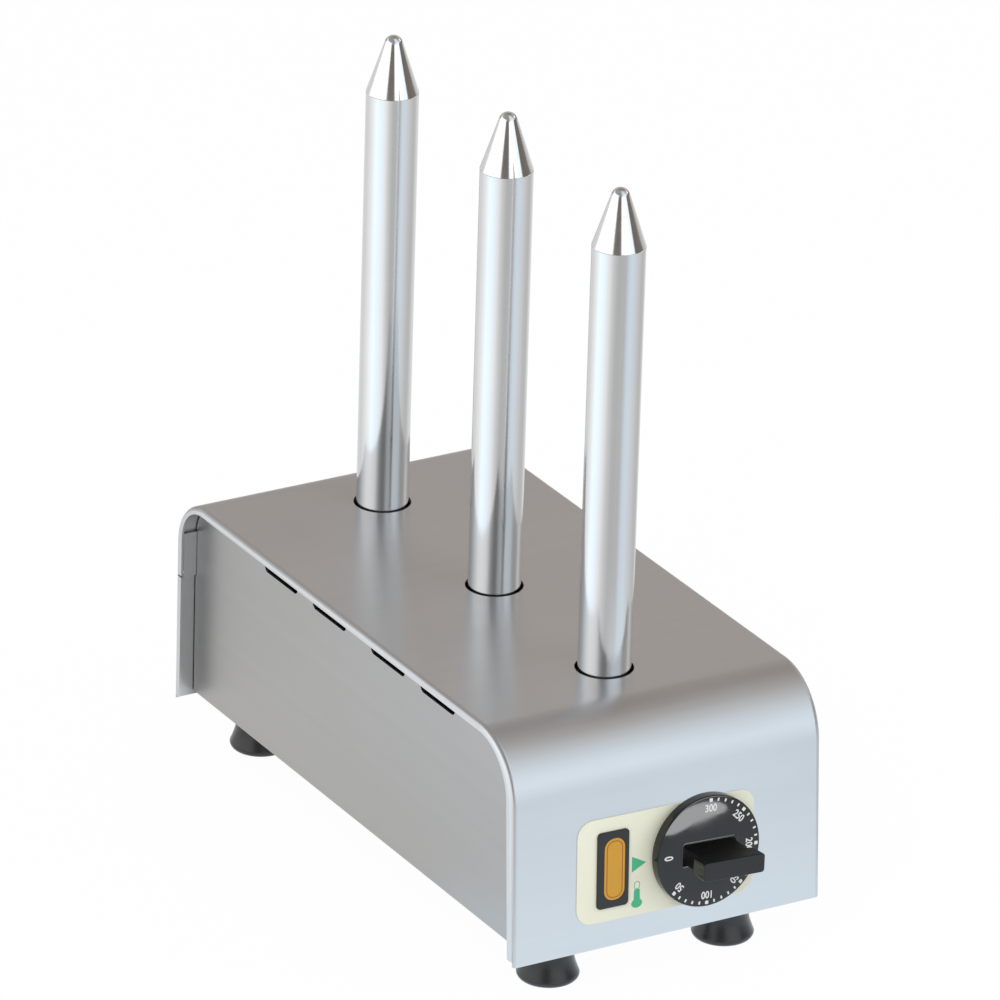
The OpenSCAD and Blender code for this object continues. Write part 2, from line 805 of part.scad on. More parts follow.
module left_panel_shape() {
    side_panel_face();
    side_panel_flanges();
}

module left_side_panel() {
    color(warm_steel) on_body() left_panel_shape();
}

module right_side_panel() {
    color(warm_steel) on_body() mirror([1, 0, 0]) left_panel_shape();
}

module bottom_plate() {
    half_w = inner_x - sheet_clear;
    color(zinc)
        on_body()
            difference() {
                translate([-half_w, plate_front, plate_z])
                    cube([2 * half_w, plate_rear - plate_front, sheet_t]);
                for (place = foot_places)
                    translate([place[0] * foot_x, foot_y(place[1]), plate_z])
                        hole(foot_hole_r, sheet_t);
                for (side = [-1, 1], y = bottom_screw_ys)
                    translate([side * bottom_screw_x, y, plate_z])
                        hole(screw_r + slip, sheet_t);
                for (side = [-1, 1], y = rivet_ys)
                    translate([side * rivet_x, y, plate_z])
                        hole(screw_r + slip, sheet_t);
                translate([earth_x, earth_y, plate_z])
                    hole(earth_r + slip, sheet_t);
            }
}

// Rail that carries the spikes

module spike_rail() {
    length = rail_y1 - rail_y0;
    color(zinc)
        on_body()
            difference() {
                union() {
                    translate([-rail_w / 2, rail_y0, rail_top - rail_t])
                        cube([rail_w, length, rail_t]);
                    for (side = [-1, 1]) {
                        translate([side * (rail_w - rail_t) / 2 - rail_t / 2, rail_y0, plate_top])
                            cube([rail_t, length, rail_top - plate_top]);
                        translate([side * (rail_w + rail_flange - rail_t) / 2
                            - (rail_flange + rail_t) / 2, rail_y0, plate_top])
                            cube([rail_flange + rail_t, length, rail_t]);
                    }
                }
                for (y = spike_ys)
                    translate([0, y, rail_top - rail_t])
                        hole(spike_r + slip, rail_t);
                for (side = [-1, 1], y = rivet_ys)
                    translate([side * rivet_x, y, plate_top])
                        hole(screw_r + slip, rail_t);
            }
}

module rail_rivets() {
    color(zinc)
        on_body()
            for (side = [-1, 1], y = rivet_ys)
                translate([side * rivet_x, y, 0]) {
                    translate([0, 0, plate_z])
                        cylinder(h = sheet_t + rail_t, r = screw_r);
                    for (z = [plate_z - rivet_head_h, plate_top + rail_t])
                        translate([0, 0, z])
                            cylinder(h = rivet_head_h, r = screw_head_r);
                }
}

// Spikes

module spike_tube(y) {
    color(bright_steel)
        on_body()
            translate([0, y, tube_base])
                difference() {
                    cylinder(h = tube_top - tube_base, r = spike_r);
                    hole(bore_r, tube_top - tube_base);
                }
}

module spike_tip(y) {
    color(bright_steel)
        on_body()
            translate([0, y, tube_top]) {
                cylinder(h = tip_ball_z + tip_end_r * sin(tip_slope), r1 = spike_r,
                    r2 = tip_end_r * cos(tip_slope));
                translate([0, 0, tip_ball_z]) sphere(tip_end_r);
                difference() {
                    translate([0, 0, -tip_spigot_l])
                        cylinder(h = tip_spigot_l, r = bore_r - slip);
                    translate([0, 0, -tip_spigot_l - over])
                        cylinder(h = tip_socket_l + over, r = heater_r + slip);
                }
            }
}

module spike_collars() {
    color(bright_steel)
        on_body()
            for (y = spike_ys)
                translate([0, y, rail_top])
                    difference() {
                        cylinder(h = collar_t, r = collar_r);
                        hole(spike_r + slip, collar_t);
                    }
}

module spike_lock_nuts() {
    color(zinc)
        on_body()
            for (y = spike_ys)
                translate([0, y, rail_top - rail_t - lock_nut_t])
                    hex_nut(lock_nut_af, lock_nut_t, spike_r + slip);
}

module heater(y) {
    heater_top = tube_top - tip_spigot_l + tip_socket_l - sheet_clear;
    color(zinc)
        on_body()
            translate([0, y, 0]) {
                translate([0, 0, tube_base]) cylinder(h = heater_top - tube_base, r = heater_r);
                difference() {
                    translate([0, 0, tube_base - bead_h]) cylinder(h = bead_h, r = bead_r);
                    for (side = [-1, 1])
                        translate([side * pin_off, 0, tube_base - bead_h])
                            cylinder(h = 2 * bead_h, r = pin_r + slip, center = true);
                }
            }
}

module heater_bushes() {
    color(ceramic)
        on_body()
            for (y = spike_ys)
                translate([0, y, tube_base])
                    difference() {
                        cylinder(h = bush_l, r = bore_r - slip);
                        hole(heater_r + slip, bush_l);
                    }
}

module heater_pins() {
    color(brass)
        on_body()
            for (y = spike_ys, side = [-1, 1])
                translate([side * pin_off, y, pin_base])
                    cylinder(h = pin_l + bead_h - sheet_clear, r = pin_r);
}

// Thermostat and knob

module thermostat_body() {
    color(ceramic)
        on_body()
            on_shaft()
                difference() {
                    union() {
                        translate([0, 0, stat_box_front])
                            cylinder(h = sheet_t + stat_plate_t + label_t, r = stat_bush_r);
                        translate([-stat_plate_w / 2, -stat_plate_h / 2, stat_box_front])
                            cube([stat_plate_w, stat_plate_h, stat_plate_t]);
                        translate([-stat_w / 2, -stat_h / 2, stat_back])
                            cube([stat_w, stat_h, stat_depth]);
                    }
                    translate([0, 0, collar_cell_back])
                        cylinder(h = collar_cell_l, r = shaft_collar_r + sheet_clear);
                    translate([0, 0, collar_cell_back - shaft_tail_l - sheet_clear])
                        cylinder(h = knob_gap - collar_cell_back + shaft_tail_l + sheet_clear,
                            r = shaft_r + shaft_clear);
                    for (side = [-1, 1])
                        translate([side * stat_screw_off, 0, stat_front + over])
                            mirror([0, 0, 1])
                                cylinder(h = stat_screw_l + over, r = screw_r + slip);
                }
}

module thermostat_shaft() {
    collar_front = collar_cell_front - sheet_clear;
    tail = collar_front - shaft_collar_t - shaft_tail_l;
    color(zinc)
        on_body()
            on_knob()
                difference() {
                    union() {
                        translate([0, 0, tail]) cylinder(h = shaft_reach - tail, r = shaft_r);
                        translate([0, 0, collar_front - shaft_collar_t])
                            cylinder(h = shaft_collar_t, r = shaft_collar_r);
                    }
                    translate([-shaft_r, shaft_flat, knob_gap])
                        cube([2 * shaft_r, shaft_r, shaft_reach]);
                }
}

module thermostat_terminals() {
    color(brass)
        on_body()
            on_shaft()
                for (side = [-1, 1])
                    translate([-blade_w / 2, side * blade_up - blade_t / 2, blade_end])
                        cube([blade_w, blade_t, blade_l]);
}

module thermostat_screws() {
    color(zinc)
        on_body()
            on_shaft()
                for (side = [-1, 1])
                    translate([side * stat_screw_off, 0, label_t])
                        rotate([half_turn, 0, 0])
                            screw(screw_r, screw_head_r, stat_screw_head_h, stat_screw_l);
}

module sensing_bulb() {
    color(copper)
        on_body()
            translate([bulb_x, bulb_y0, rail_top + bulb_r])
                rotate([-square_turn, 0, 0])
                    cylinder(h = bulb_l, r = bulb_r);
}

module bulb_clip() {
    saddle_r = bulb_r + slip + bulb_clip_t;
    color(zinc)
        on_body()
            translate([bulb_x, bulb_y0 + bulb_l / 2 - bulb_clip_w / 2, rail_top])
                difference() {
                    union() {
                        translate([0, 0, bulb_r])
                            rotate([-square_turn, 0, 0])
                                cylinder(h = bulb_clip_w, r = saddle_r);
                        cube([bulb_r + bulb_tab, bulb_clip_w, bulb_clip_t]);
                    }
                    translate([0, -over, bulb_r])
                        rotate([-square_turn, 0, 0])
                            cylinder(h = bulb_clip_w + 2 * over, r = bulb_r + slip);
                    translate([-saddle_r, -over, -saddle_r])
                        cube([2 * saddle_r + bulb_tab, bulb_clip_w + 2 * over, saddle_r]);
                    translate([-saddle_r, -over, -saddle_r])
                        cube([saddle_r, bulb_clip_w + 2 * over, saddle_r + bulb_r]);
                }
}

// From the bulb's front end to the back of the thermostat's body
module capillary_tube() {
    start = [bulb_x, bulb_y0, rail_top + bulb_r];
    end = front_point(knob_x + stat_w / 4, knob_up + stat_h / 2 - 4 * capillary_r, stat_back);
    color(copper)
        on_body()
            wire(start, [0, -rail_end * 4 / 5, 0], end, front_way(0, -rail_end / 2), [1, 0, 0],
                capillary_r);
}

module knob() {
    color(black_plastic)
        on_body()
            on_knob()
                difference() {
                    union() {
                        difference() {
                            knob_disc();
                            translate([-stem_w / 2 - well_gap, -stem_h / 2 - well_gap, well_floor])
                                cube([stem_w + 2 * well_gap, stem_h + 2 * well_gap,
                                    well_depth + over]);
                        }
                        translate([-stem_w / 2, -stem_h / 2, well_floor])
                            cube([stem_w, stem_h, bar_back - well_floor]);
                        finger_bar();
                    }
                    translate([0, 0, knob_gap - over])
                        cylinder(h = shaft_reach - knob_gap + over + sheet_clear,
                            r = shaft_r + shaft_clear);
                }
}

module knob_disc() {
    translate([0, 0, knob_gap]) {
        cylinder(h = knob_t - knob_edge, r = knob_r);
        translate([0, 0, knob_t - knob_edge])
            cylinder(h = knob_edge, r1 = knob_r, r2 = knob_r - knob_edge);
    }
}

module finger_bar() {
    translate([-bar_w / 2, 0, 0])
        rotate([square_turn, 0, square_turn])
            linear_extrude(bar_w)
                polygon([
                    [-bar_back_h / 2, bar_back],
                    [bar_back_h / 2, bar_back],
                    [bar_h / 2, bar_front],
                    [-bar_h / 2, bar_front]
                ]);
}

// A leaf spring between the shaft's flat and the bore
module knob_spring_clip() {
    color(zinc)
        on_body()
            on_knob()
                translate([-clip_w / 2, shaft_flat, shaft_reach - clip_l])
                    cube([clip_w, clip_t, clip_l]);
}

module label_plate() {
    color(cream)
        on_body()
            difference() {
                on_label() rounded_plate(label_w, label_h, label_r, label_t);
                on_shaft() {
                    hole(bush_hole_r, label_t);
                    for (side = [-1, 1])
                        translate([side * stat_screw_off, 0, 0])
                            hole(screw_r + screw_clear, label_t);
                }
            }
}

module badge_plate() {
    color(charcoal)
        on_body()
            on_label()
                translate([-badge_off, 0, label_t])
                    difference() {
                        rounded_plate(badge_w, badge_h, badge_r, 2 * label_t);
                        translate([field_shift, 0, label_t])
                            rounded_plate(field_w, field_h, field_r, 2 * label_t);
                    }
}

module badge_field() {
    color(amber)
        on_body()
            on_label()
                translate([field_shift - badge_off, 0, 2 * label_t])
                    rounded_plate(field_w - slip, field_h - slip, field_r - slip / 2, label_t);
}

// Electrical parts

// The cord's conductors enter from the rear; the front row of screws holds the wires
module terminal_block() {
    color(ceramic)
        on_body()
            translate([0, block_y, 0])
                difference() {
                    translate([-block_w / 2, -block_l / 2, plate_top])
                        cube([block_w, block_l, block_h]);
                    for (pole = block_poles) {
                        translate([pole * block_pitch, block_l / 2 + over, block_tunnel_z])
                            rotate([square_turn, 0, 0])
                                cylinder(h = block_l / 2 + over, r = block_tunnel_r);
                        for (row = [-1, 1])
                            translate([pole * block_pitch, row * block_l / 4, block_tunnel_z])
                                cylinder(h = block_h, r = block_well_r);
                    }
                }
}

module terminal_screws() {
    screw_foot = block_tunnel_z + block_tunnel_r;
    color(brass)
        on_body()
            for (pole = block_poles, row = [0, 1])
                translate([pole * block_pitch, block_y + (row - 1 / 2) * block_l / 2,
                    block_tunnel_z + row * block_tunnel_r])
                    cylinder(h = plate_top + block_h - screw_foot - screw_head_h
                        + (1 - row) * block_tunnel_r, r = block_well_r - slip);
}

// Connectors on the heaters' pins
module pin_connectors() {
    color(ceramic)
        on_body()
            for (y = spike_ys, side = [-1, 1])
                translate([side * pin_off, y, connector_z])
                    difference() {
                        translate([-connector_w / 2, -connector_l / 2, 0])
                            cube([connector_w, connector_l, connector_h]);
                        translate([0, 0, connector_h - connector_grip])
                            cylinder(h = connector_grip + over, r = pin_r + slip);
                    }
}

module cable_gland() {
    color(black_plastic)
        on_body()
            translate([gland_x, rear_y, gland_z])
                rotate([-square_turn, 0, 0])
                    difference() {
                        union() {
                            rotate([0, 0, half_turn / hex_sides])
                                cylinder(h = gland_hex_t, $fn = hex_sides,
                                    d = gland_hex_af / cos(half_turn / hex_sides));
                            translate([0, 0, gland_hex_t / 2])
                                cylinder(h = gland_reach - gland_hex_t / 2, r1 = gland_dome_r,
                                    r2 = gland_mouth_r);
                            translate([0, 0, -gland_thread_l])
                                cylinder(h = gland_thread_l + gland_hex_t / 2, r = gland_thread_r);
                        }
                        translate([0, 0, -gland_thread_l])
                            hole(gland_bore_r, gland_reach + gland_thread_l);
                    }
}

module gland_lock_nut() {
    color(black_plastic)
        on_body()
            translate([gland_x, rear_y - sheet_t, gland_z])
                rotate([square_turn, 0, 0])
                    hex_nut(gland_nut_af, gland_nut_t, gland_thread_r + slip);
}

module earth_stud() {
    color(brass)
        on_body()
            translate([earth_x, earth_y, plate_z])
                screw(earth_r, earth_head_r, earth_head_h, earth_l);
}

module earth_nut() {
    color(brass)
        on_body()
            translate([earth_x, earth_y, plate_top + lug_t])
                hex_nut(nut_af, nut_t, earth_r + slip);
}

// A ring under the nut, with a barrel for the wire
module earth_lug() {
    color(brass)
        on_body()
            translate([earth_x, earth_y, plate_top])
                difference() {
                    union() {
                        cylinder(h = lug_t, r = lug_r);
                        translate([-barrel_r, 0, 0])
                            cube([2 * barrel_r, lug_r + barrel_r, lug_t]);
                        translate([0, lug_r, barrel_r])
                            rotate([-square_turn, 0, 0])
                                cylinder(h = barrel_l, r = barrel_r);
                    }
                    hole(earth_r + slip, lug_t);
                    translate([0, lug_r + barrel_r, barrel_r])
                        rotate([-square_turn, 0, 0])
                            cylinder(h = barrel_l, r = wire_r + slip);
                }
}

// Straight wires between the connectors of neighbouring heaters
module heater_link_wires() {
    color(copper)
        on_body()
            for (side = [-1, 1], gap = [0, 1])
                translate([side * pin_off, spike_ys[gap] + connector_l / 2, wire_z])
                    rotate([-square_turn, 0, 0])
                        cylinder(h = spike_ys[gap + 1] - spike_ys[gap] - connector_l, r = wire_r);
}

// From the terminal block through the rail to the thermostat
module live_wire() {
    color(copper)
        on_body()
            wire([block_pitch, block_front, block_tunnel_z], [0, -cover_l / 3, 0],
                front_point(knob_x, knob_up + blade_up, blade_end), front_way(0, -cover_l / 6),
                [1, 0, 0], wire_r);
}

// From the thermostat to the front heater
module heater_feed_wire() {
    color(copper)
        on_body()
            wire(front_point(knob_x, knob_up - blade_up, blade_end), front_way(0, -connector_l),
                [pin_off, spike_ys[0] - connector_l / 2, wire_z], [0, -connector_l, 0],
                [1, 0, 0], wire_r);
}

// From the rear heater back to the terminal block
module neutral_wire() {
    color(copper)
        on_body()
            wire([0, block_front, block_tunnel_z], [0, -rail_end, 0],
                [-pin_off, spike_ys[2] + connector_l / 2, wire_z], [0, rail_end, 0],
                [1, 0, 0], wire_r);
}

// From the terminal block to the lug on the earth stud
module earth_wire() {
    color(copper)
        on_body()
            wire([earth_x, block_front, block_tunnel_z], [0, -connector_l, 0],
                [earth_x, earth_y + lug_r + barrel_r, plate_top + barrel_r], [0, barrel_l * 2, 0],
                [1, 0, 0], wire_r);
}

// Feet

module foot(place) {
    color(rubber)
        on_body()
            translate([place[0] * foot_x, foot_y(place[1]), 0])
                rotate_extrude() {
                    difference() {
                        union() {
                            polygon([
                                [0, 0],
                                [foot_r - foot_round_r, 0],
                                [foot_r - foot_round_r, foot_round_r],
                                [foot_r, foot_round_r],
                                [foot_waist_r, foot_waist_h],
                                [foot_top_r, plate_z],
                                [0, plate_z]
                            ]);
                            translate([foot_r - foot_round_r, foot_round_r])
                                intersection() {
                                    circle(foot_round_r);
                                    translate([0, -foot_round_r])
                                        square([foot_round_r, foot_round_r]);
                                }
                        }
                        translate([-over, -over])
                            square([foot_hole_r + over, plate_z + 2 * over]);
                        translate([-over, -over])
                            square([foot_pocket_r + over, foot_pocket_h + over]);
                    }
                }
}

module at_feet(z) {
    for (place = foot_places)
        translate([place[0] * foot_x, foot_y(place[1]), z])
            children();
}

module foot_washers() {
    color(zinc)
        on_body()
            at_feet(washer_z)
                difference() {
                    cylinder(h = washer_t, r = washer_r);
                    hole(foot_screw_r + screw_clear, washer_t);
                }
}

module foot_screws() {
    color(zinc)
        on_body()
            at_feet(washer_z)
                screw(foot_screw_r, foot_head_r, foot_head_h,
                    plate_top + nut_t + thread_past - washer_z);
}

module foot_nuts() {
    color(zinc)
        on_body()
            at_feet(plate_top)
                hex_nut(nut_af, nut_t, foot_screw_r + slip);
}

// Screws

module bottom_screws() {
    color(zinc)
        on_body()
            for (side = [-1, 1], y = bottom_screw_ys)
                translate([side * bottom_screw_x, y, panel_base])
                    screw(screw_r, screw_head_r, screw_head_h, 3 * sheet_t);
}

module rear_screws() {
    color(zinc)
        on_body()
            for (side = [-1, 1], place = [[rear_screw_x, rear_screw_low],
                    [rear_screw_x, rear_screw_high], [tongue_screw_x, tongue_screw_z]])
                translate([side * place[0], rear_y, place[1]])
                    rotate([square_turn, 0, 0])
                        screw(screw_r, screw_head_r, screw_head_h, 3 * sheet_t);
}

cover();
rear_panel();
left_side_panel();
right_side_panel();
bottom_plate();
spike_rail();
spike_tube(spike_ys[0]);  // front_spike_tube
spike_tube(spike_ys[1]);  // middle_spike_tube
spike_tube(spike_ys[2]);  // rear_spike_tube
spike_tip(spike_ys[0]);  // front_spike_tip
spike_tip(spike_ys[1]);  // middle_spike_tip
spike_tip(spike_ys[2]);  // rear_spike_tip
spike_collars();
spike_lock_nuts();
heater(spike_ys[0]);  // front_heater
heater(spike_ys[1]);  // middle_heater
heater(spike_ys[2]);  // rear_heater
heater_bushes();
heater_pins();
thermostat_body();
thermostat_shaft();
thermostat_terminals();
thermostat_screws();
sensing_bulb();
bulb_clip();
capillary_tube();
knob();
knob_spring_clip();
label_plate();
badge_plate();
badge_field();
terminal_block();
terminal_screws();
cable_gland();
gland_lock_nut();
earth_stud();
earth_nut();
earth_lug();
pin_connectors();
heater_link_wires();
live_wire();
heater_feed_wire();
neutral_wire();
earth_wire();
foot(foot_places[0]);  // front_left_foot
foot(foot_places[1]);  // front_right_foot
foot(foot_places[2]);  // rear_left_foot
foot(foot_places[3]);  // rear_right_foot
foot_washers();
foot_screws();
foot_nuts();
bottom_screws();
rear_screws();
rail_rivets();
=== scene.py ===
"""Visual model of the three-spike hot dog grill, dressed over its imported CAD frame."""

import logging
import math
from dataclasses import dataclass, field
from enum import Enum

import bmesh
import bpy
from mathutils import Matrix, Vector


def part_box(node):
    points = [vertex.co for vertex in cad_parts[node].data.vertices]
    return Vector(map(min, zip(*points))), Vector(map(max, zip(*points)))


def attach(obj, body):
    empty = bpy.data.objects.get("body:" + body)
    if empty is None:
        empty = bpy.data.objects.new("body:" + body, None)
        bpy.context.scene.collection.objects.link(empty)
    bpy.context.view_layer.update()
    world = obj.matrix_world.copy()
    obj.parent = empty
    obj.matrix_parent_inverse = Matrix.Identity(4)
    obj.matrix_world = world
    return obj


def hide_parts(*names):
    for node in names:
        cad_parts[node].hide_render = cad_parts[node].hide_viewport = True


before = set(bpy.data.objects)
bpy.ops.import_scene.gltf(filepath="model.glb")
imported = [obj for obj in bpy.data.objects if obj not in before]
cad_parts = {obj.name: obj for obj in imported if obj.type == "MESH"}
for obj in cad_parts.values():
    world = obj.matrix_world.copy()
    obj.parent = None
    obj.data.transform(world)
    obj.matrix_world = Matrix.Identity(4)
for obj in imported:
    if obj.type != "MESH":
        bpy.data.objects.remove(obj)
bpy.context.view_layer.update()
LOG = logging.getLogger("hot_dog_grill")
MM = 0.001
HOUSING = "housing"
DIAL = "dial"
SPIKE_NAMES = ("front", "middle", "rear")
OVERRUN = 4.0
NEAR_ZERO = 1e-6
WHITE = (1.0, 1.0, 1.0)
Point = tuple[float, float, float]
Colour = tuple[float, float, float]
Outline = list[tuple[float, float]]


class Grain(Enum):
    """Direction of the brushing, as cycles per metre along X, Y and Z."""

    ALONG_X = (14.0, 1500.0, 1500.0)
    ALONG_Y = (1500.0, 14.0, 1500.0)
    ALONG_Z = (1900.0, 1900.0, 9.0)
    NONE = (700.0, 700.0, 700.0)


class Tint(Enum):
    """Colour cast of a wall or table that the steel reflects."""

    PLAIN = (1.0, 1.0, 1.0)
    WARM = (1.09, 1.0, 0.94)
    TAN = (1.18, 1.0, 0.88)
    COOL = (0.89, 1.0, 1.09)


class Edge(Enum):
    """Width in millimetres of the small round on a piece's edges."""

    SHEET = 0.18
    MOULDED = 0.4
    TURNED = 0.12


Stops = tuple[tuple[float, float, Tint], ...]


def rgb(red: int, green: int, blue: int) -> Colour:
    """Turn screen values into linear ones.

    Args:
        red: red, 0 to 255.
        green: green, 0 to 255.
        blue: blue, 0 to 255.

    Returns:
        The linear colour.
    """

    def linear(value: int) -> float:
        """Linear share of one screen value."""
        share = value / 255
        return share / 12.92 if share <= 0.04045 else ((share + 0.055) / 1.055) ** 2.4

    return linear(red), linear(green), linear(blue)


def show(name: str, data: bpy.types.ID) -> bpy.types.Object:
    """Put a mesh, a lamp or the camera into the scene.

    Args:
        name: name of the object.
        data: what the object holds.

    Returns:
        The object.
    """
    made = bpy.data.objects.new(name, data)
    bpy.context.scene.collection.objects.link(made)
    return made


class Wiring:
    """Short way of adding and joining nodes in one tree."""

    def __init__(self, tree: bpy.types.NodeTree) -> None:
        """Keep the tree.

        Args:
            tree: node tree of a material, a world or a group.
        """
        self.tree = tree

    @staticmethod
    def fresh(owner: bpy.types.ID) -> "Wiring":
        """Start the empty node tree of a material or world.

        Args:
            owner: the material or world.

        Returns:
            The wiring of its tree.
        """
        owner.use_nodes = True
        owner.node_tree.nodes.clear()
        return Wiring(owner.node_tree)

    def add(self, kind: str, **settings: object) -> bpy.types.Node:
        """Add a node.

        Args:
            kind: Blender's name of the node type, without the ShaderNode prefix.
            settings: attributes, or what feeds an input, by its name with spaces as underscores.

        Returns:
            The node.
        """
        node = self.tree.nodes.new("ShaderNode" + kind)
        for key, value in settings.items():
            name = key.replace("_", " ")
            if name in node.inputs:
                self.feed(node.inputs[name], value)
            else:
                setattr(node, key, value)
        return node

    def feed(self, slot: bpy.types.NodeSocket, value: object) -> None:
        """Link an input to another node's output, or set its value.

        Args:
            slot: the input.
            value: socket, number, vector or colour.
        """
        if isinstance(value, bpy.types.NodeSocket):
            self.tree.links.new(value, slot)
        else:
            slot.default_value = value

    def close(self, kind: str, shader: bpy.types.Node) -> None:
        """Feed a shader into the output node of a material or world."""
        self.add(kind, Surface=shader.outputs[0])

    def math(self, operation: str, first: object, second: object = 0.0) -> bpy.types.NodeSocket:
        """Add a Math node.

        Args:
            operation: Blender's name of the operation.
            first: socket or number.
            second: socket or number.

        Returns:
            Its result.
        """
        node = self.add("Math", operation=operation)
        self.feed(node.inputs[0], first)
        self.feed(node.inputs[1], second)
        return node.outputs[0]

    def blend(self, share: object, low: object, high: object) -> bpy.types.NodeSocket:
        """Mix two colours.

        Args:
            share: socket or number, 0 for low and 1 for high.
            low: colour or socket.
            high: colour or socket.

        Returns:
            The mixed colour.
        """
        node = self.add("Mix", data_type="RGBA")
        for name, value in (("Factor", share), ("A", low), ("B", high)):
            slot = next(i for i in node.inputs if i.name == name and i.enabled)
            self.feed(slot, (*value, 1.0) if isinstance(value, tuple) else value)
        return next(o for o in node.outputs if o.enabled)

    def ease(self, value: bpy.types.NodeSocket, start: float, end: float) -> bpy.types.NodeSocket:
        """Rise smoothly from 0 to 1 between two values.

        Args:
            value: what is measured.
            start: value at which the result leaves 0.
            end: value at which it reaches 1.

        Returns:
            The eased mask.
        """
        node = self.add("MapRange", Value=value, From_Min=start, From_Max=end,
                        interpolation_type="SMOOTHSTEP")
        return node.outputs["Result"]

    def ramp(self, value: bpy.types.NodeSocket, stops: Stops) -> bpy.types.NodeSocket:
        """Shade a bearing by stops round the horizon.

        Args:
            value: bearing as a share of the full turn.
            stops: bearing in degrees from 0 to 360, brightness and cast of each stop.

        Returns:
            The colour.
        """
        node = self.add("ValToRGB", Fac=value)
        dots = node.color_ramp.elements
        for bearing, shade, tint in stops[1:-1]:
            dots.new(bearing / 360.0).color = (*(shade * c for c in tint.value), 1.0)
        for dot, (_, shade, tint) in ((dots[0], stops[0]), (dots[len(dots) - 1], stops[-1])):
            dot.color = (*(shade * c for c in tint.value), 1.0)
        return node.outputs["Color"]

    def spread(self, value: bpy.types.NodeSocket, low: float, high: float) -> bpy.types.NodeSocket:
        """Map a mask from 0..1 to low..high.

        Args:
            value: mask.
            low: result at 0.
            high: result at 1.

        Returns:
            The mapped value.
        """
        return self.add("MapRange", Value=value, To_Min=low, To_Max=high).outputs["Result"]


GroupParts = tuple[bpy.types.NodeTree, Wiring, bpy.types.NodeOutputs, bpy.types.NodeInputs]


class Effects:
    """Node groups that several finishes share."""

    BAND_SCALE = 0.11
    TONE_LOW, TONE_HIGH = 0.32, 0.68

    def __init__(self) -> None:
        """Build each group once."""
        self.grain = self.brushing()
        self.clouds = self.handling()
        self.specks = self.dots()

    @staticmethod
    def group(name: str, inputs: dict[str, str], outputs: tuple[str, ...]) -> GroupParts:
        """Start a group with its sockets.

        Args:
            name: name of the group.
            inputs: socket type by input name.
            outputs: names of its value outputs.

        Returns:
            The group, its wiring, and what comes in and goes out.
        """
        group = bpy.data.node_groups.new(name, "ShaderNodeTree")
        for label, kind in inputs.items():
            group.interface.new_socket(label, in_out="INPUT", socket_type=kind)
        for label in outputs:
            group.interface.new_socket(label, in_out="OUTPUT", socket_type="NodeSocketFloat")
        start = group.nodes.new("NodeGroupInput")
        end = group.nodes.new("NodeGroupOutput")
        return group, Wiring(group), start.outputs, end.inputs

    def brushing(self) -> bpy.types.NodeTree:
        """Brushing lines: a fine and a broad noise stretched along the grain.

        Returns:
            The group, with outputs Lines and Bands.
        """
        group, w, given, result = self.group(
            "brushing",
            {"Position": "NodeSocketVector", "Stretch": "NodeSocketVector"},
            ("Lines", "Bands"),
        )
        fine = w.add("VectorMath", operation="MULTIPLY")
        w.feed(fine.inputs[0], given["Position"])
        w.feed(fine.inputs[1], given["Stretch"])
        broad = w.add("VectorMath", operation="SCALE", Scale=self.BAND_SCALE)
        w.feed(broad.inputs[0], fine.outputs[0])
        lines = w.add("TexNoise", Vector=fine.outputs[0], Scale=1.0, Detail=3.0, Roughness=0.65)
        bands = w.add("TexNoise", Vector=broad.outputs[0], Scale=1.0, Detail=2.0, Roughness=0.5)
        w.feed(result["Lines"], lines.outputs["Fac"])
        w.feed(result["Bands"], bands.outputs["Fac"])
        return group

    def handling(self) -> bpy.types.NodeTree:
        """Soft uneven tone, as handling and cleaning leave it.

        Returns:
            The group, with output Tone.
        """
        group, w, given, result = self.group(
            "handling", {"Position": "NodeSocketVector", "Scale": "NodeSocketFloat"}, ("Tone",)
        )
        noise = w.add("TexNoise", Vector=given["Position"], Scale=given["Scale"], Detail=4.0,
                      Roughness=0.55, Distortion=0.4)
        tone = w.add("MapRange", Value=noise.outputs["Fac"], From_Min=self.TONE_LOW,
                     From_Max=self.TONE_HIGH)
        w.feed(result["Tone"], tone.outputs["Result"])
        return group

    def dots(self) -> bpy.types.NodeTree:
        """Small pits and dust grains.

        Returns:
            The group, with output Specks.
        """
        group, w, given, result = self.group(
            "specks",
            {"Position": "NodeSocketVector", "Scale": "NodeSocketFloat", "Size": "NodeSocketFloat"},
            ("Specks",),
        )
        cells = w.add("TexVoronoi", Vector=given["Position"], Scale=given["Scale"])
        inside = w.math("LESS_THAN", cells.outputs["Distance"], given["Size"])
        w.feed(result["Specks"], inside)
        return group


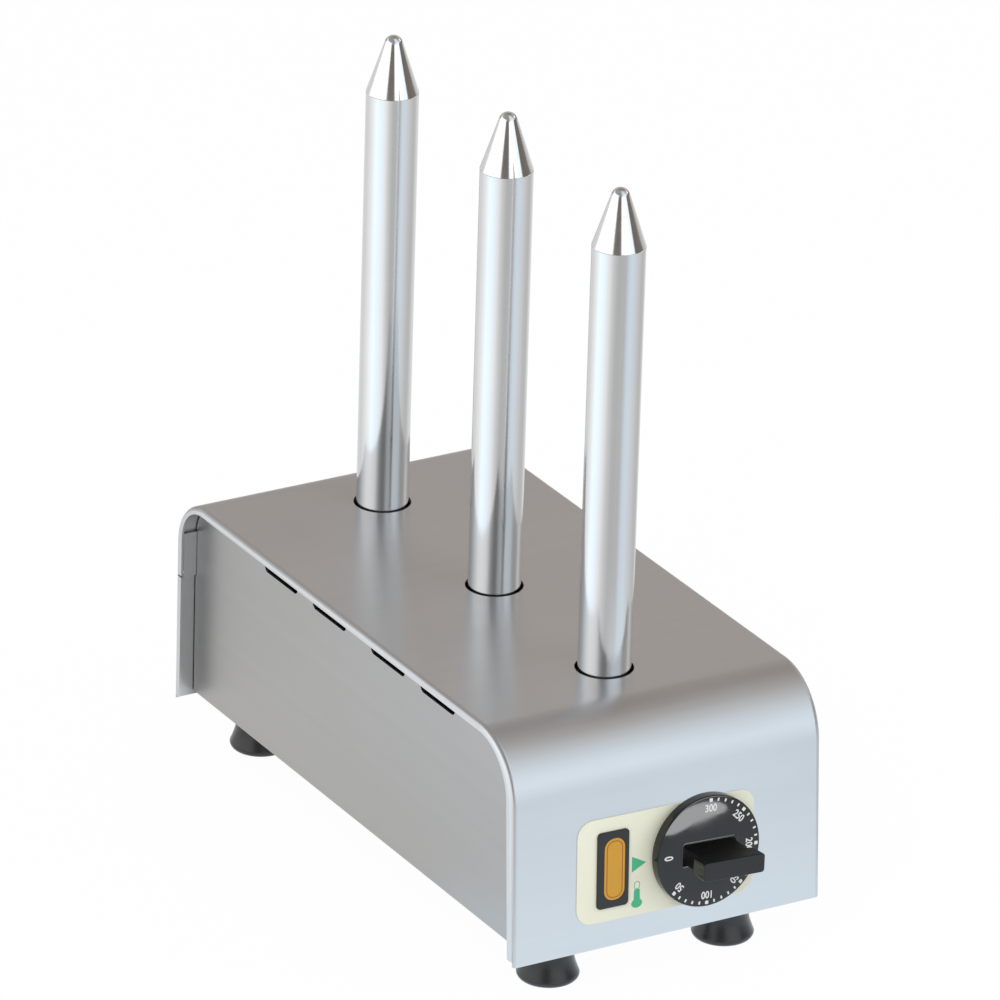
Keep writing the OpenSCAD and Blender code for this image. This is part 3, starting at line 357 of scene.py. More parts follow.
@dataclass(frozen=True)
class Finish:
    """One surface finish and how it varies over a piece."""

    name: str
    colour: Colour
    roughness: float
    metallic: float = 0.0
    grain: Grain = Grain.NONE
    line_tone: float = 0.0
    line_rough: float = 0.0
    line_bump: float = 0.0
    cloud_scale: float = 18.0
    cloud_tone: float = 0.05
    cloud_rough: float = 0.04
    speck_scale: float = 900.0
    speck_size: float = 0.0
    speck_tone: float = 0.0
    coat: float = 0.0
    specular: float = 0.5
    stretch: float = 0.0
    dark_share: float = 0.5
    light_share: float = 1.5
    least_rough: float = 0.02
    relief_depth: float = 0.1

    def build(self, effects: Effects) -> bpy.types.Material:
        """Make the material.

        Args:
            effects: the shared node groups.

        Returns:
            The material.
        """
        material = bpy.data.materials.new(self.name)
        w = Wiring.fresh(material)
        place = w.add("TexCoord").outputs["Object"]
        brushing = w.add("Group", node_tree=effects.grain, Position=place,
                         Stretch=self.grain.value).outputs
        handling = w.add("Group", node_tree=effects.clouds, Position=place,
                         Scale=self.cloud_scale).outputs
        specks = w.add("Group", node_tree=effects.specks, Position=place,
                       Scale=self.speck_scale, Size=self.speck_size).outputs

        lines = w.spread(brushing["Lines"], -self.line_tone, self.line_tone)
        bands = w.spread(brushing["Bands"], -self.line_tone, self.line_tone)
        clouds = w.spread(handling["Tone"], -self.cloud_tone, self.cloud_tone)
        dots = w.math("MULTIPLY", specks["Specks"], self.speck_tone)
        tone = w.math("ADD", w.math("ADD", lines, bands), w.math("ADD", clouds, dots))
        dark = tuple(c * self.dark_share for c in self.colour)
        light = tuple(min(1.0, c * self.light_share) for c in self.colour)

        gloss = w.spread(handling["Tone"],
                         max(self.least_rough, self.roughness - self.cloud_rough),
                         min(1.0, self.roughness + self.cloud_rough))
        streaks = w.spread(brushing["Lines"], -self.line_rough, self.line_rough)
        relief = w.add("Bump", Strength=self.line_bump, Distance=self.relief_depth * MM,
                       Height=w.math("ADD", brushing["Lines"], dots))

        shader = w.add("BsdfPrincipled", Metallic=self.metallic, Coat_Weight=self.coat,
                       Specular_IOR_Level=self.specular,
                       Base_Color=w.blend(w.math("ADD", tone, 0.5), dark, light),
                       Roughness=w.math("ADD", gloss, streaks), Normal=relief.outputs["Normal"])
        if self.stretch > 0:
            round_grain = w.add("Tangent", direction_type="RADIAL", axis=self.grain.name[-1])
            w.feed(shader.inputs["Anisotropic"], self.stretch)
            w.feed(shader.inputs["Tangent"], round_grain.outputs[0])
        w.close("OutputMaterial", shader)
        return material


class Finishes:
    """Every finish of the grill, built once."""

    def __init__(self) -> None:
        """Describe and build the finishes."""
        steel = {"metallic": 1.0, "cloud_tone": 0.02, "cloud_rough": 0.03}
        plain = {"metallic": 1.0, "grain": Grain.NONE, "line_tone": 0.03, "line_bump": 0.05}
        described = (
            Finish("satin_sheet", rgb(205, 206, 207), 0.33, grain=Grain.ALONG_X, line_tone=0.025,
                   line_rough=0.05, line_bump=0.03, cloud_scale=9.0, stretch=0.8, **steel),
            Finish("side_sheet", rgb(169, 168, 167), 0.4, grain=Grain.ALONG_Y, line_tone=0.04,
                   line_rough=0.08, line_bump=0.06, cloud_scale=9.0, **steel),
            Finish("spike_tube", rgb(230, 231, 233), 0.15, grain=Grain.ALONG_Z, line_tone=0.05,
                   line_rough=0.05, line_bump=0.05, cloud_scale=14.0, **steel),
            Finish("spike_tip", rgb(237, 236, 235), 0.1, grain=Grain.NONE, line_tone=0.04,
                   line_rough=0.04, line_bump=0.05, speck_scale=1300.0, speck_size=0.24,
                   speck_tone=-0.3, **steel),
            Finish("black_gloss", rgb(14, 12, 10), 0.07, line_tone=0.04, line_rough=0.03,
                   line_bump=0.03, cloud_tone=0.06),
            # painted shade: a darker, duller copy of the gloss black for the knob's well and the
            # bar's stem, top and underside
            Finish("black_matt", rgb(4, 4, 4), 0.42, line_tone=0.04, line_rough=0.05,
                   line_bump=0.08, cloud_tone=0.06, specular=0.14),
            Finish("dial_print", rgb(232, 232, 228), 0.5, line_tone=0.08, line_bump=0.05),
            Finish("label_film", rgb(233, 231, 198), 0.45, line_tone=0.02, line_bump=0.04,
                   cloud_tone=0.03),
            Finish("green_print", rgb(62, 168, 122), 0.45, line_tone=0.05, line_bump=0.04),
            Finish("badge_plastic", rgb(22, 21, 20), 0.4, line_tone=0.04, line_bump=0.06),
            Finish("amber_line", rgb(150, 86, 12), 0.4, line_tone=0.04, line_bump=0.06),
            Finish("amber_plastic", rgb(190, 138, 8), 0.36, line_tone=0.04, line_bump=0.04,
                   coat=0.2),
            Finish("foot_rubber", rgb(32, 32, 32), 0.3, line_tone=0.06, line_bump=0.2,
                   cloud_scale=60.0, cloud_tone=0.1, speck_size=0.16, speck_tone=0.06),
            Finish("zinc_sheet", rgb(168, 170, 172), 0.42, cloud_scale=70.0, cloud_tone=0.12,
                   cloud_rough=0.1, **plain),
            Finish("bright_fastener", rgb(182, 183, 185), 0.3, cloud_scale=120.0,
                   cloud_tone=0.06, **plain),
            Finish("heater_sheath", rgb(120, 112, 104), 0.5, cloud_scale=40.0, cloud_tone=0.12,
                   **plain),
            Finish("brass", rgb(200, 168, 96), 0.32, cloud_scale=80.0, cloud_tone=0.08, **plain),
            Finish("copper", rgb(190, 118, 80), 0.34, cloud_scale=80.0, cloud_tone=0.1, **plain),
            Finish("ceramic", rgb(226, 221, 205), 0.6, line_tone=0.03, line_bump=0.1,
                   speck_size=0.14, speck_tone=-0.1),
            Finish("thermostat_case", rgb(206, 200, 184), 0.55, line_tone=0.03, line_bump=0.08),
            Finish("black_nylon", rgb(24, 24, 25), 0.48, line_tone=0.05, line_bump=0.15),
            Finish("brown_sleeve", rgb(98, 58, 34), 0.6, line_tone=0.1, line_bump=0.3),
            Finish("blue_sleeve", rgb(38, 70, 140), 0.6, line_tone=0.1, line_bump=0.3),
            Finish("earth_sleeve", rgb(92, 150, 52), 0.6, line_tone=0.1, line_bump=0.3),
        )
        effects = Effects()
        self.by_name = {one.name: one.build(effects) for one in described}

    def put(self, name: str, *objects: bpy.types.Object) -> None:
        """Give pieces a finish in every material slot.

        Args:
            name: name of the finish.
            objects: the pieces.
        """
        for one in objects:
            one.data.materials.clear()
            one.data.materials.append(self.by_name[name])


class Forge:
    """Ways of making a mesh piece. All lengths given are millimetres."""

    SHARP_ANGLE = 32.0

    @staticmethod
    def piece(name: str, points: list[Point], faces: list[tuple[int, ...]]) -> bpy.types.Object:
        """Make an object from points and faces.

        Args:
            name: name of the piece.
            points: points in millimetres.
            faces: point numbers of each face.

        Returns:
            The object.
        """
        mesh = bpy.data.meshes.new(name)
        mesh.from_pydata([tuple(c * MM for c in p) for p in points], [], faces)
        body = bmesh.new()
        body.from_mesh(mesh)
        bmesh.ops.recalc_face_normals(body, faces=body.faces)
        body.to_mesh(mesh)
        body.free()
        return show(name, mesh)

    @staticmethod
    def loft(name: str, rings: list[list[Point]], looped: bool = False) -> bpy.types.Object:
        """Skin a row of closed rings.

        Args:
            name: name of the piece.
            rings: rings with the same number of points each.
            looped: whether the last ring runs on into the first one, instead of end caps.

        Returns:
            The object.
        """
        size = len(rings[0])
        points = [p for ring in rings for p in ring]
        starts = [k * size for k in range(len(rings))]
        pairs = list(zip(starts, starts[1:])) + ([(starts[-1], 0)] if looped else [])
        faces = [(a + j, a + (j + 1) % size, b + (j + 1) % size, b + j)
                 for a, b in pairs for j in range(size)]
        if not looped:
            faces.append(tuple(reversed(range(size))))
            faces.append(tuple(range(len(points) - size, len(points))))
        return Forge.piece(name, points, faces)

    @staticmethod
    def turn(name: str, profile: list[tuple[float, float]], steps: int = 96,
             closed: bool = False) -> bpy.types.Object:
        """Turn a profile about the Z axis.

        Args:
            name: name of the piece.
            profile: radius and height of each point, from bottom to top.
            steps: points round the axis.
            closed: whether the profile runs back to its start, as a tube's does.

        Returns:
            The object.
        """
        points: list[Point] = []
        rows: list[list[int]] = []
        for radius, height in profile:
            if radius < NEAR_ZERO:
                rows.append([len(points)] * steps)
                points.append((0.0, 0.0, height))
                continue
            rows.append(list(range(len(points), len(points) + steps)))
            for k in range(steps):
                a = 2 * math.pi * k / steps
                points.append((radius * math.cos(a), radius * math.sin(a), height))
        faces = []
        pairs = list(zip(rows, rows[1:])) + ([(rows[-1], rows[0])] if closed else [])
        for low, high in pairs:
            for k in range(steps):
                n = (k + 1) % steps
                corners = (low[k], low[n], high[n], high[k])
                face = tuple(dict.fromkeys(corners))
                if len(face) > 2:
                    faces.append(face)
        return Forge.piece(name, points, faces)

    @staticmethod
    def arc(middle: tuple[float, float], radius: float, start: float, end: float,
            parts: int) -> Outline:
        """Points along a round, with both ends.

        Args:
            middle: its middle.
            radius: its radius.
            start: bearing of its first point, in degrees.
            end: bearing of its last point.
            parts: number of parts.

        Returns:
            The points.
        """
        bearings = (math.radians(start + (end - start) * k / parts) for k in range(parts + 1))
        return [(middle[0] + radius * math.cos(a), middle[1] + radius * math.sin(a))
                for a in bearings]

    @staticmethod
    def drill(radius: float, place: Matrix, steps: int = 48) -> bpy.types.Object:
        """Make the cutter of a round hole in a sheet.

        Args:
            radius: radius of the hole.
            place: its frame, with Z along the hole, in metres.
            steps: points round it.

        Returns:
            The cutter.
        """
        cutter = Forge.turn("drill", [(0, -OVERRUN), (radius, -OVERRUN), (radius, OVERRUN),
                                      (0, OVERRUN)], steps)
        return Forge.move(cutter, place)

    @staticmethod
    def outline(width: float, height: float, radius: float, steps: int = 10) -> Outline:
        """Corner points of a rounded rectangle about the origin.

        Args:
            width: full width.
            height: full height.
            radius: corner radius.
            steps: parts of each corner.

        Returns:
            The points, counter-clockwise.
        """
        points = []
        for quarter, (sx, sy) in enumerate(((1, 1), (-1, 1), (-1, -1), (1, -1))):
            middle = (sx * (width / 2 - radius), sy * (height / 2 - radius))
            points += Forge.arc(middle, radius, 90 * quarter, 90 * (quarter + 1), steps)
        return points

    @staticmethod
    def slab(name: str, outline: Outline, low: float, high: float,
             edge: float = 0.0) -> bpy.types.Object:
        """Pull an outline up and round its upper edge.

        Args:
            name: name of the piece.
            outline: points round it.
            low: height of its back.
            high: height of its front.
            edge: size of the round on the front edge.

        Returns:
            The object.
        """
        cx = sum(p[0] for p in outline) / len(outline)
        cy = sum(p[1] for p in outline) / len(outline)
        reach = max(math.hypot(x - cx, y - cy) for x, y in outline)
        front = Forge.arc((high - edge, edge), edge, -90, 0, 5) if edge > 0 else [(high, 0.0)]
        rings = []
        for z, inset in [(low, 0.0)] + front:
            share = 1 - inset / reach
            rings.append([(cx + (x - cx) * share, cy + (y - cy) * share, z) for x, y in outline])
        return Forge.loft(name, rings)

    @staticmethod
    def join(name: str, *parts: bpy.types.Object) -> bpy.types.Object:
        """Join pieces into one object.

        Args:
            name: name of the result.
            parts: the pieces, which must lie at the origin.

        Returns:
            The object.
        """
        body = bmesh.new()
        for part in parts:
            part.data.transform(part.matrix_world)
            body.from_mesh(part.data)
            bpy.data.objects.remove(part)
        mesh = bpy.data.meshes.new(name)
        body.to_mesh(mesh)
        body.free()
        return show(name, mesh)

    @staticmethod
    def cut(piece: bpy.types.Object, cutter: bpy.types.Object) -> None:
        """Cut one piece with another and delete the cutter.

        Args:
            piece: what is cut.
            cutter: closed solid or solids that are taken away.
        """
        change = piece.modifiers.new("cut", "BOOLEAN")
        change.object = cutter
        change.operation = "DIFFERENCE"
        change.solver = "EXACT"
        Forge.settle(piece)
        bpy.data.objects.remove(cutter)

    @staticmethod
    def settle(piece: bpy.types.Object) -> None:
        """Apply every modifier of a piece to its mesh.

        Args:
            piece: the piece.
        """
        graph = bpy.context.evaluated_depsgraph_get()
        mesh = bpy.data.meshes.new_from_object(piece.evaluated_get(graph))
        piece.modifiers.clear()
        piece.data = mesh

    @staticmethod
    def soften(piece: bpy.types.Object, edge: Edge, segments: int = 2) -> None:
        """Round the sharp edges and shade the rest smoothly.

        Args:
            piece: the piece.
            edge: size of the round.
            segments: parts of the round.
        """
        weld = piece.modifiers.new("weld", "WELD")
        weld.merge_threshold = NEAR_ZERO
        bevel = piece.modifiers.new("round", "BEVEL")
        bevel.width = edge.value * MM
        bevel.segments = segments
        bevel.limit_method = "ANGLE"
        bevel.angle_limit = math.radians(Forge.SHARP_ANGLE)
        Forge.settle(piece)
        Forge.shade(piece, angle=50.0)

    @staticmethod
    def shade(piece: bpy.types.Object, angle: float) -> None:
        """Shade a piece smoothly up to an angle, flat faces staying flat.

        Args:
            piece: the piece.
            angle: angle between faces above which an edge stays sharp.
        """
        mesh = piece.data
        mesh.polygons.foreach_set("use_smooth", [True] * len(mesh.polygons))
        mesh.set_sharp_from_angle(angle=math.radians(angle))
        weigh = piece.modifiers.new("flat_faces", "WEIGHTED_NORMAL")
        weigh.keep_sharp = True

    @staticmethod
    def move(piece: bpy.types.Object, matrix: Matrix) -> bpy.types.Object:
        """Move a piece's points.

        Args:
            piece: the piece.
            matrix: the move, in metres.

        Returns:
            The same piece.
        """
        piece.data.transform(matrix)
        return piece


@dataclass
class Case:
    """The sheet-steel case: its side view and the pieces made of sheet."""

    width: float = 164.5
    length: float = 325.0
    height: float = 108.0
    base: float = 24.0
    lean: float = 3.5
    front_bend: float = 32.0
    rear_bend: float = 25.0
    sheet: float = 1.2
    edge: float = 3.0
    front_lip: float = 5.5
    top_lip: float = 3.4
    relief: float = 2.4
    relief_start: float = 1.5
    relief_end: float = 12.0
    seam: float = 66.0
    spike_hole: float = 13.75
    screw_hole: float = 2.1
    screw_drop: float = 3.7
    lip_reach: float = 1.0
    bend_parts: tuple[int, int] = (40, 36)
    edge_parts: int = 8
    shaft_holes: tuple[tuple[float, float], ...] = ((0.0, 5.3), (-14.0, 2.1), (14.0, 2.1))
    front: float = field(init=False)
    rear: float = field(init=False)

    def __post_init__(self) -> None:
        """Take the place of the case along Y from the CAD frame."""
        self.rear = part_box("rear_panel")[1].y / MM
        self.front = self.rear - self.length

    @property
    def sin(self) -> float:
        """Sine of the lean."""
        return math.sin(math.radians(self.lean))

    @property
    def cos(self) -> float:
        """Cosine of the lean."""
        return math.cos(math.radians(self.lean))

    @staticmethod
    def spike_y(name: str) -> float:
        """Place of a spike's axis along Y."""
        low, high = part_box(f"{name}_spike_tube")
        return (low.y + high.y) / 2 / MM

    def face_matrix(self, x: float, up: float, out: float = 0.0) -> Matrix:
        """Frame on the leaning front: X right, Y up the face, Z out of it.

        Args:
            x: sideways place in millimetres.
            up: place up the face.
            out: place in front of it.

        Returns:
            The matrix, in metres.
        """
        y = self.front + up * self.sin - out * self.cos
        z = self.base + up * self.cos + out * self.sin
        turn = Matrix.Rotation(math.radians(90 - self.lean), 4, "X")
        return Matrix.Translation(Vector((x, y, z)) * MM) @ turn

    def side_view(self) -> list[tuple[float, float, float, float]]:
        """Stations along the outside of the cover, from the front edge over the top.

        Returns:
            Place (y, z) and outward direction (y, z) of each station.
        """
        front_z = self.height - self.front_bend
        front_y = self.front + (self.front_bend + front_z * self.sin) / self.cos
        rear_y = self.rear - self.rear_bend
        rear_z = self.height - self.rear_bend
        stations = [(self.front, self.base, -self.cos, self.sin)]
        front_parts, rear_parts = self.bend_parts
        for y, z, bend, start, end, parts in (
                (front_y, front_z, self.front_bend, 180 - self.lean, 90, front_parts),
                (rear_y, rear_z, self.rear_bend, 90, 0, rear_parts)):
            for ny, nz in Forge.arc((0, 0), 1.0, start, end, parts):
                stations.append((y + bend * ny, self.base + z + bend * nz, ny, nz))
        stations.append((self.rear, self.base + self.seam, 1.0, 0.0))
        return stations

    def lip_depth(self, y: float, z: float, ny: float, nz: float) -> float:
        """Depth of the turned-in edge at a station of the side view.

        Args:
            y: place along the case.
            z: height.
            ny: outward direction along the case.
            nz: outward direction up.

        Returns:
            The depth in millimetres.
        """
        up = z - self.base
        top = self.height - self.top_lip
        inner = self.front_bend - self.front_lip
        front_side = y < (self.front + self.rear) / 2
        if front_side:
            off = (y - self.front) * self.cos - up * self.sin
            rate = -ny * self.cos + nz * self.sin
            centre_z = top - inner
            centre_y = self.front + (self.front_bend + centre_z * self.sin) / self.cos
        else:
            off = self.rear - y
            rate = ny
            inner = self.rear_bend - self.front_lip
            centre_z = top - inner
            centre_y = self.rear - self.rear_bend
        depth = 0.0
        if rate > NEAR_ZERO:
            depth = (self.front_lip - off) / rate
        if nz > NEAR_ZERO:
            depth = max(depth, (self.top_lip - (self.height - up)) / nz)
        qy, qz = y - ny * depth, up - nz * depth
        beyond = qy < centre_y if front_side else qy > centre_y
        if beyond and qz > centre_z - self.lip_reach:
            by, bz = y - centre_y, up - centre_z
            half = by * ny + bz * nz
            rest = half * half - (by * by + bz * bz - inner * inner)
            if rest > 0:
                depth = max(0.0, half - math.sqrt(rest))
        return depth

    def section(self, lip: float) -> Outline:
        """The sheet seen along its length: sideways place and depth of each point.

        Args:
            lip: depth of the turned-in edges.

        Returns:
            The points, in order round the section.
        """
        half = self.width / 2
        middle = (half - self.edge, self.edge)
        outer, inner = (Forge.arc(middle, radius, -90, 0, self.edge_parts)
                        for radius in (self.edge, self.edge - self.sheet))
        right = outer + [(half, lip), (half - self.sheet, lip)] + inner[::-1]
        left = [(-x, d) for x, d in reversed(right)]
        return right + left

    def cover(self) -> bpy.types.Object:
        """Bend the cover, punch it and round its edges.

        Returns:
            The cover.
        """
        rings = []
        for y, z, ny, nz in self.side_view():
            lip = self.lip_depth(y, z, ny, nz)
            rings.append([(x, y - ny * d, z - nz * d) for x, d in self.section(lip)])
        cover = Forge.loft("cover_sheet", rings)
        top = self.base + self.height
        cutters = []
        for name in SPIKE_NAMES:
            spike = Vector((0, self.spike_y(name), top)) * MM
            cutters.append(Forge.drill(self.spike_hole, Matrix.Translation(spike), steps=96))
        for x, radius in self.shaft_holes:
            cutters.append(Forge.drill(radius, self.face_matrix(Dial.x + x, Dial.up)))
        low, high = self.relief_start, self.relief_end
        for side in (-1, 1):
            notch = Forge.slab("notch", [(-OVERRUN, low), (OVERRUN, low), (OVERRUN, high),
                                         (-OVERRUN, high)], -OVERRUN, self.relief)
            corner = Vector((side * self.width / 2, self.front, self.base)) * MM
            cutters.append(Forge.move(notch, Matrix.Translation(corner)))
        screw_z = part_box("rear_screws")[1].z / MM - self.screw_drop
        level = Matrix.Rotation(math.radians(90), 4, "X")
        for side in (-1, 1):
            screw = Matrix.Translation(Vector((side * self.width / 4, self.rear, screw_z)) * MM)
            cutters.append(Forge.drill(self.screw_hole, screw @ level, steps=32))
        Forge.cut(cover, Forge.join("cutters", *cutters))
        Forge.soften(cover, Edge.SHEET)
        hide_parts("cover")
        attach(cover, HOUSING)
        return cover

    def build(self, finishes: Finishes) -> None:
        """Make and dress the case.

        Args:
            finishes: the grill's finishes.
        """
        finishes.put("satin_sheet", self.cover())
        LOG.info("cover bent and punched")
        for name, finish in (("rear_panel", "satin_sheet"), ("left_side_panel", "side_sheet"),
                             ("right_side_panel", "side_sheet"), ("bottom_plate", "zinc_sheet"),
                             ("spike_rail", "zinc_sheet")):
            finishes.put(finish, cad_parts[name])
            LOG.info("%s dressed", name)


@dataclass
class Spikes:
    """The three heated spikes with their cone tips."""

    case: Case
    radius: float = 12.5
    wall: float = 1.5
    height: float = 210.0
    tip_height: float = 28.0
    tip_round: float = 4.5
    tip_chamfer: float = 0.15
    spigot: float = 9.0
    spigot_slip: float = 0.1
    socket: float = 5.1
    socket_roof: float = 4.0
    steps: int = 128
    tube_parts: int = 8
    cone_parts: int = 10
    ball_parts: int = 12

    def tube(self, name: str, low: float, high: float) -> bpy.types.Object:
        """Turn one tube.

        Args:
            name: name of the piece.
            low: height of its foot.
            high: height of its mouth.

        Returns:
            The tube about the Z axis.
        """
        r, b, e = self.radius, self.radius - self.wall, Edge.TURNED.value
        profile = [(b, low), (r - e, low), (r, low + e)]
        profile += [(r, low + (high - low) * k / self.tube_parts)
                    for k in range(1, self.tube_parts)]
        profile += [(r, high - e), (r - e, high), (b, high)]
        tube = Forge.turn(name, profile, self.steps, closed=True)
        Forge.shade(tube, angle=40.0)
        return tube

    def tip(self, name: str, base: float) -> bpy.types.Object:
        """Turn one cone tip with its spigot.

        Args:
            name: name of the piece.
            base: height of the tube's mouth.

        Returns:
            The tip about the Z axis.
        """
        ball = self.tip_height - self.tip_round
        slope = (math.acos(self.tip_round / math.hypot(self.radius, ball))
                 - math.atan(ball / self.radius))
        bore = self.radius - self.wall - self.spigot_slip
        profile = [(0, base - self.socket_roof), (self.socket, base - self.socket_roof),
                   (self.socket, base - self.spigot), (bore, base - self.spigot), (bore, base),
                   (self.radius - self.tip_chamfer, base),
                   (self.radius, base + Edge.TURNED.value)]
        end = (self.tip_round * math.cos(slope), ball + self.tip_round * math.sin(slope))
        for k in range(1, self.cone_parts + 1):
            share = k / self.cone_parts
            profile.append((self.radius + (end[0] - self.radius) * share, base + end[1] * share))
        profile += Forge.arc((0, base + ball), self.tip_round, math.degrees(slope), 90,
                             self.ball_parts)[1:]
        tip = Forge.turn(name, profile, self.steps)
        Forge.shade(tip, angle=40.0)
        return tip

    def build(self, finishes: Finishes) -> None:
        """Make and dress the spikes.

        Args:
            finishes: the grill's finishes.
        """
        mouth = self.case.base + self.case.height + self.height
        for name in SPIKE_NAMES:
            node = f"{name}_spike_tube"
            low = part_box(node)[0].z / MM
            place = Matrix.Translation(Vector((0, self.case.spike_y(name), 0)) * MM)
            tube = Forge.move(self.tube(f"{name}_tube", low, mouth), place)
            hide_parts(node)
            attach(tube, HOUSING)
            finishes.put("spike_tube", tube)
            tip = Forge.move(self.tip(f"{name}_tip", mouth), place)
            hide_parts(f"{name}_spike_tip")
            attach(tip, HOUSING)
            finishes.put("spike_tip", tip)
            LOG.info("%s spike turned", name)


@dataclass
class Dial:
    """The knob: a disc with the printed scale and an undercut finger bar."""

    case: Case
    x: float = 17.0
    up: float = 39.8
    rest: float = 2.5
    radius: float = 27.25
    back: float = 2.8
    front: float = 8.3
    rim_round: float = 0.7
    crown: float = 0.25
    flat: float = 17.5
    bar_width: float = 32.4
    bar_height: float = 9.2
    bar_back_height: float = 8.6
    bar_depth: float = 9.6
    bar_front: float = 30.8
    stem_width: float = 26.0
    stem_height: float = 8.4
    well_gap: float = 1.1
    well_depth: float = 4.0
    well_floor: float = 0.9
    well_corner: float = 1.2
    well_round: float = 1.0
    well_sink: float = 0.02
    # depth and slope that pick the faces given the painted shade
    matt_depth: float = 0.5
    matt_slope: float = 0.5
    bead: float = 0.24
    bar_corner: float = 1.5
    figure_values: tuple[int, ...] = (0, 50, 100, 150, 200, 250, 300)
    figure_start: float = 180.0
    figure_pitch: float = 45.0
    figure_radius: float = 21.2
    zero_height: float = 4.4
    figure_height: float = 3.5
    figure_squeeze: float = 0.86
    figure_weight: float = 0.028
    zero_squeeze: float = 0.72
    font_ratio: float = 1.42
    tick_count: int = 26
    tick_start: float = 225.0
    tick_pitch: float = 9.0
    tick_radius: float = 25.2
    dash: tuple[float, float] = (1.5, 0.85)
    square: tuple[float, float] = (1.7, 1.7)
    dash_corner_share: float = 0.15
    print_height: float = 0.05

    def frame(self) -> Matrix:
        """Frame of the knob at rest: X along the finger bar, Z out of the face."""
        turn = Matrix.Rotation(math.radians(-self.rest), 4, "Z")
        return self.case.face_matrix(self.x, self.up) @ turn

    def disc(self) -> bpy.types.Object:
        """Turn the disc with its rounded rim and faintly crowned face.

        Returns:
            The disc in the knob's frame.
        """
        inner = self.radius - self.rim_round
        shoulder = self.front - self.crown - self.rim_round
        profile = [(0.0, self.back), (self.radius - self.crown, self.back),
                   (self.radius, self.back + self.crown), (self.radius, shoulder)]
        profile += Forge.arc((inner, shoulder), self.rim_round, 15, 90, 5)
        for k in range(9):
            radius = inner + (self.flat - inner) * (k + 1) / 9
            profile.append((radius, self.front - self.dip(radius)))
        return Forge.turn("disc", profile + [(0.0, self.front)], 144)

    def dip(self, radius: float) -> float:
        """Depth of the disc's face below its flat middle at a radius."""
        reach = self.radius - self.rim_round - self.flat
        return self.crown * (max(0.0, radius - self.flat) / reach) ** 2

    def well(self) -> bpy.types.Object:
        """Form the basin that the bar's stem stands in, with its rounded rim.

        Returns:
            The basin in the knob's frame.
        """
        width = self.stem_width + 2 * self.well_gap
        height = self.stem_height + 2 * self.well_gap
        top, floor = self.front - self.well_sink, self.front - self.well_depth
        r = self.well_round
        rim = Forge.arc((0, 0), 1.0, 20, 180, 8)
        levels = [(r, floor - self.well_floor), (r, top)]
        levels += [(r / 2 * (1 + across), top + self.bead * up) for across, up in rim]
        levels.append((0.0, floor))
        return Forge.loft("basin", [
            [(x, y, level) for x, y in Forge.outline(width + 2 * grow, height + 2 * grow,
                                                     self.well_corner + grow, 6)]
            for grow, level in levels
        ])

    def bar(self) -> bpy.types.Object:
        """Form the finger bar: a head that tapers to its back, on a stem in a well.

        Returns:
            The bar in the knob's frame.
        """
        back = self.bar_front - self.bar_depth
        head = Forge.loft("head", [
            [(x, y, level) for x, y in Forge.outline(self.bar_width, height, self.bar_corner, 5)]
            for height, level in ((self.bar_back_height, back), (self.bar_height, self.bar_front))
        ])
        s, t = self.stem_width / 2, self.stem_height / 2
        floor = self.front - self.well_depth
        stem = Forge.slab("stem", [(-s, -t), (s, -t), (s, t), (-s, t)], floor, back)
        for part in (head, stem):
            Forge.soften(part, Edge.MOULDED, segments=3)
            Forge.settle(part)
        return Forge.join("finger_bar", head, stem)

    def mould(self, part: bpy.types.Object, finishes: Finishes) -> bpy.types.Object:
        """Finish a moulded part: polished black, with painted shade (a darker, duller copy of the
        black) in the well, on the bar's stem and on the head's top and underside.

        Args:
            part: the part in the knob's frame.
            finishes: the grill's finishes.

        Returns:
            The part in the row frame.
        """
        finishes.put("black_gloss", part)
        # second slot: painted shade, a darker, duller copy of the black; the faces in the well, on
        # the stem and on the head's top and underside take it
        part.data.materials.append(finishes.by_name["black_matt"])
        neck = self.bar_front - self.bar_depth
        for face in part.data.polygons:
            x, y, z = (c / MM for c in face.center)
            deep = z < self.front - self.matt_depth and math.hypot(x, y) < self.bar_width / 2
            side = z < neck or abs(face.normal.y) > self.matt_slope
            face.material_index = int(deep or (z > self.front + self.bead and side))
        Forge.shade(part, angle=50.0)
        Forge.move(part, self.frame())
        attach(part, DIAL)
        return part

    def knob(self, finishes: Finishes) -> None:
        """Make the disc with its well, and the bar.

        Args:
            finishes: the grill's finishes.
        """
        disc = self.disc()
        width = self.stem_width + 2 * (self.well_gap + self.well_round)
        height = self.stem_height + 2 * (self.well_gap + self.well_round)
        Forge.cut(disc, Forge.slab("pocket", Forge.outline(
            width, height, self.well_corner + self.well_round, 6),
            self.front - self.well_depth - self.well_floor, self.front + OVERRUN))
        moulding = self.mould(Forge.join("knob_disc", disc, self.well()), finishes)
        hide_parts("knob")
        for part in (moulding, self.mould(self.bar(), finishes),
                     bpy.data.objects["thermostat_shaft"], bpy.data.objects["knob_spring_clip"]):
            part.visible_glossy = False

    def figure(self, value: int) -> bpy.types.Object:
        """Form one number of the scale about the origin.

        Args:
            value: degrees.

        Returns:
            The number, flat in the XY plane.
        """
        height = self.figure_height if value else self.zero_height
        text = bpy.data.curves.new("degrees", "FONT")
        text.body = str(value)
        text.size = height * self.font_ratio * MM
        text.align_x, text.align_y = "CENTER", "CENTER"
        text.extrude = self.print_height * MM
        text.offset = self.figure_weight * height * MM
        holder = show("degrees", text)
        graph = bpy.context.evaluated_depsgraph_get()
        mesh = bpy.data.meshes.new_from_object(holder.evaluated_get(graph))
        bpy.data.objects.remove(holder)
        part = show("degrees", mesh)
        squeeze = self.figure_squeeze if value else self.zero_squeeze
        return Forge.move(part, Matrix.Diagonal((squeeze, 1.0, 1.0, 1.0)))

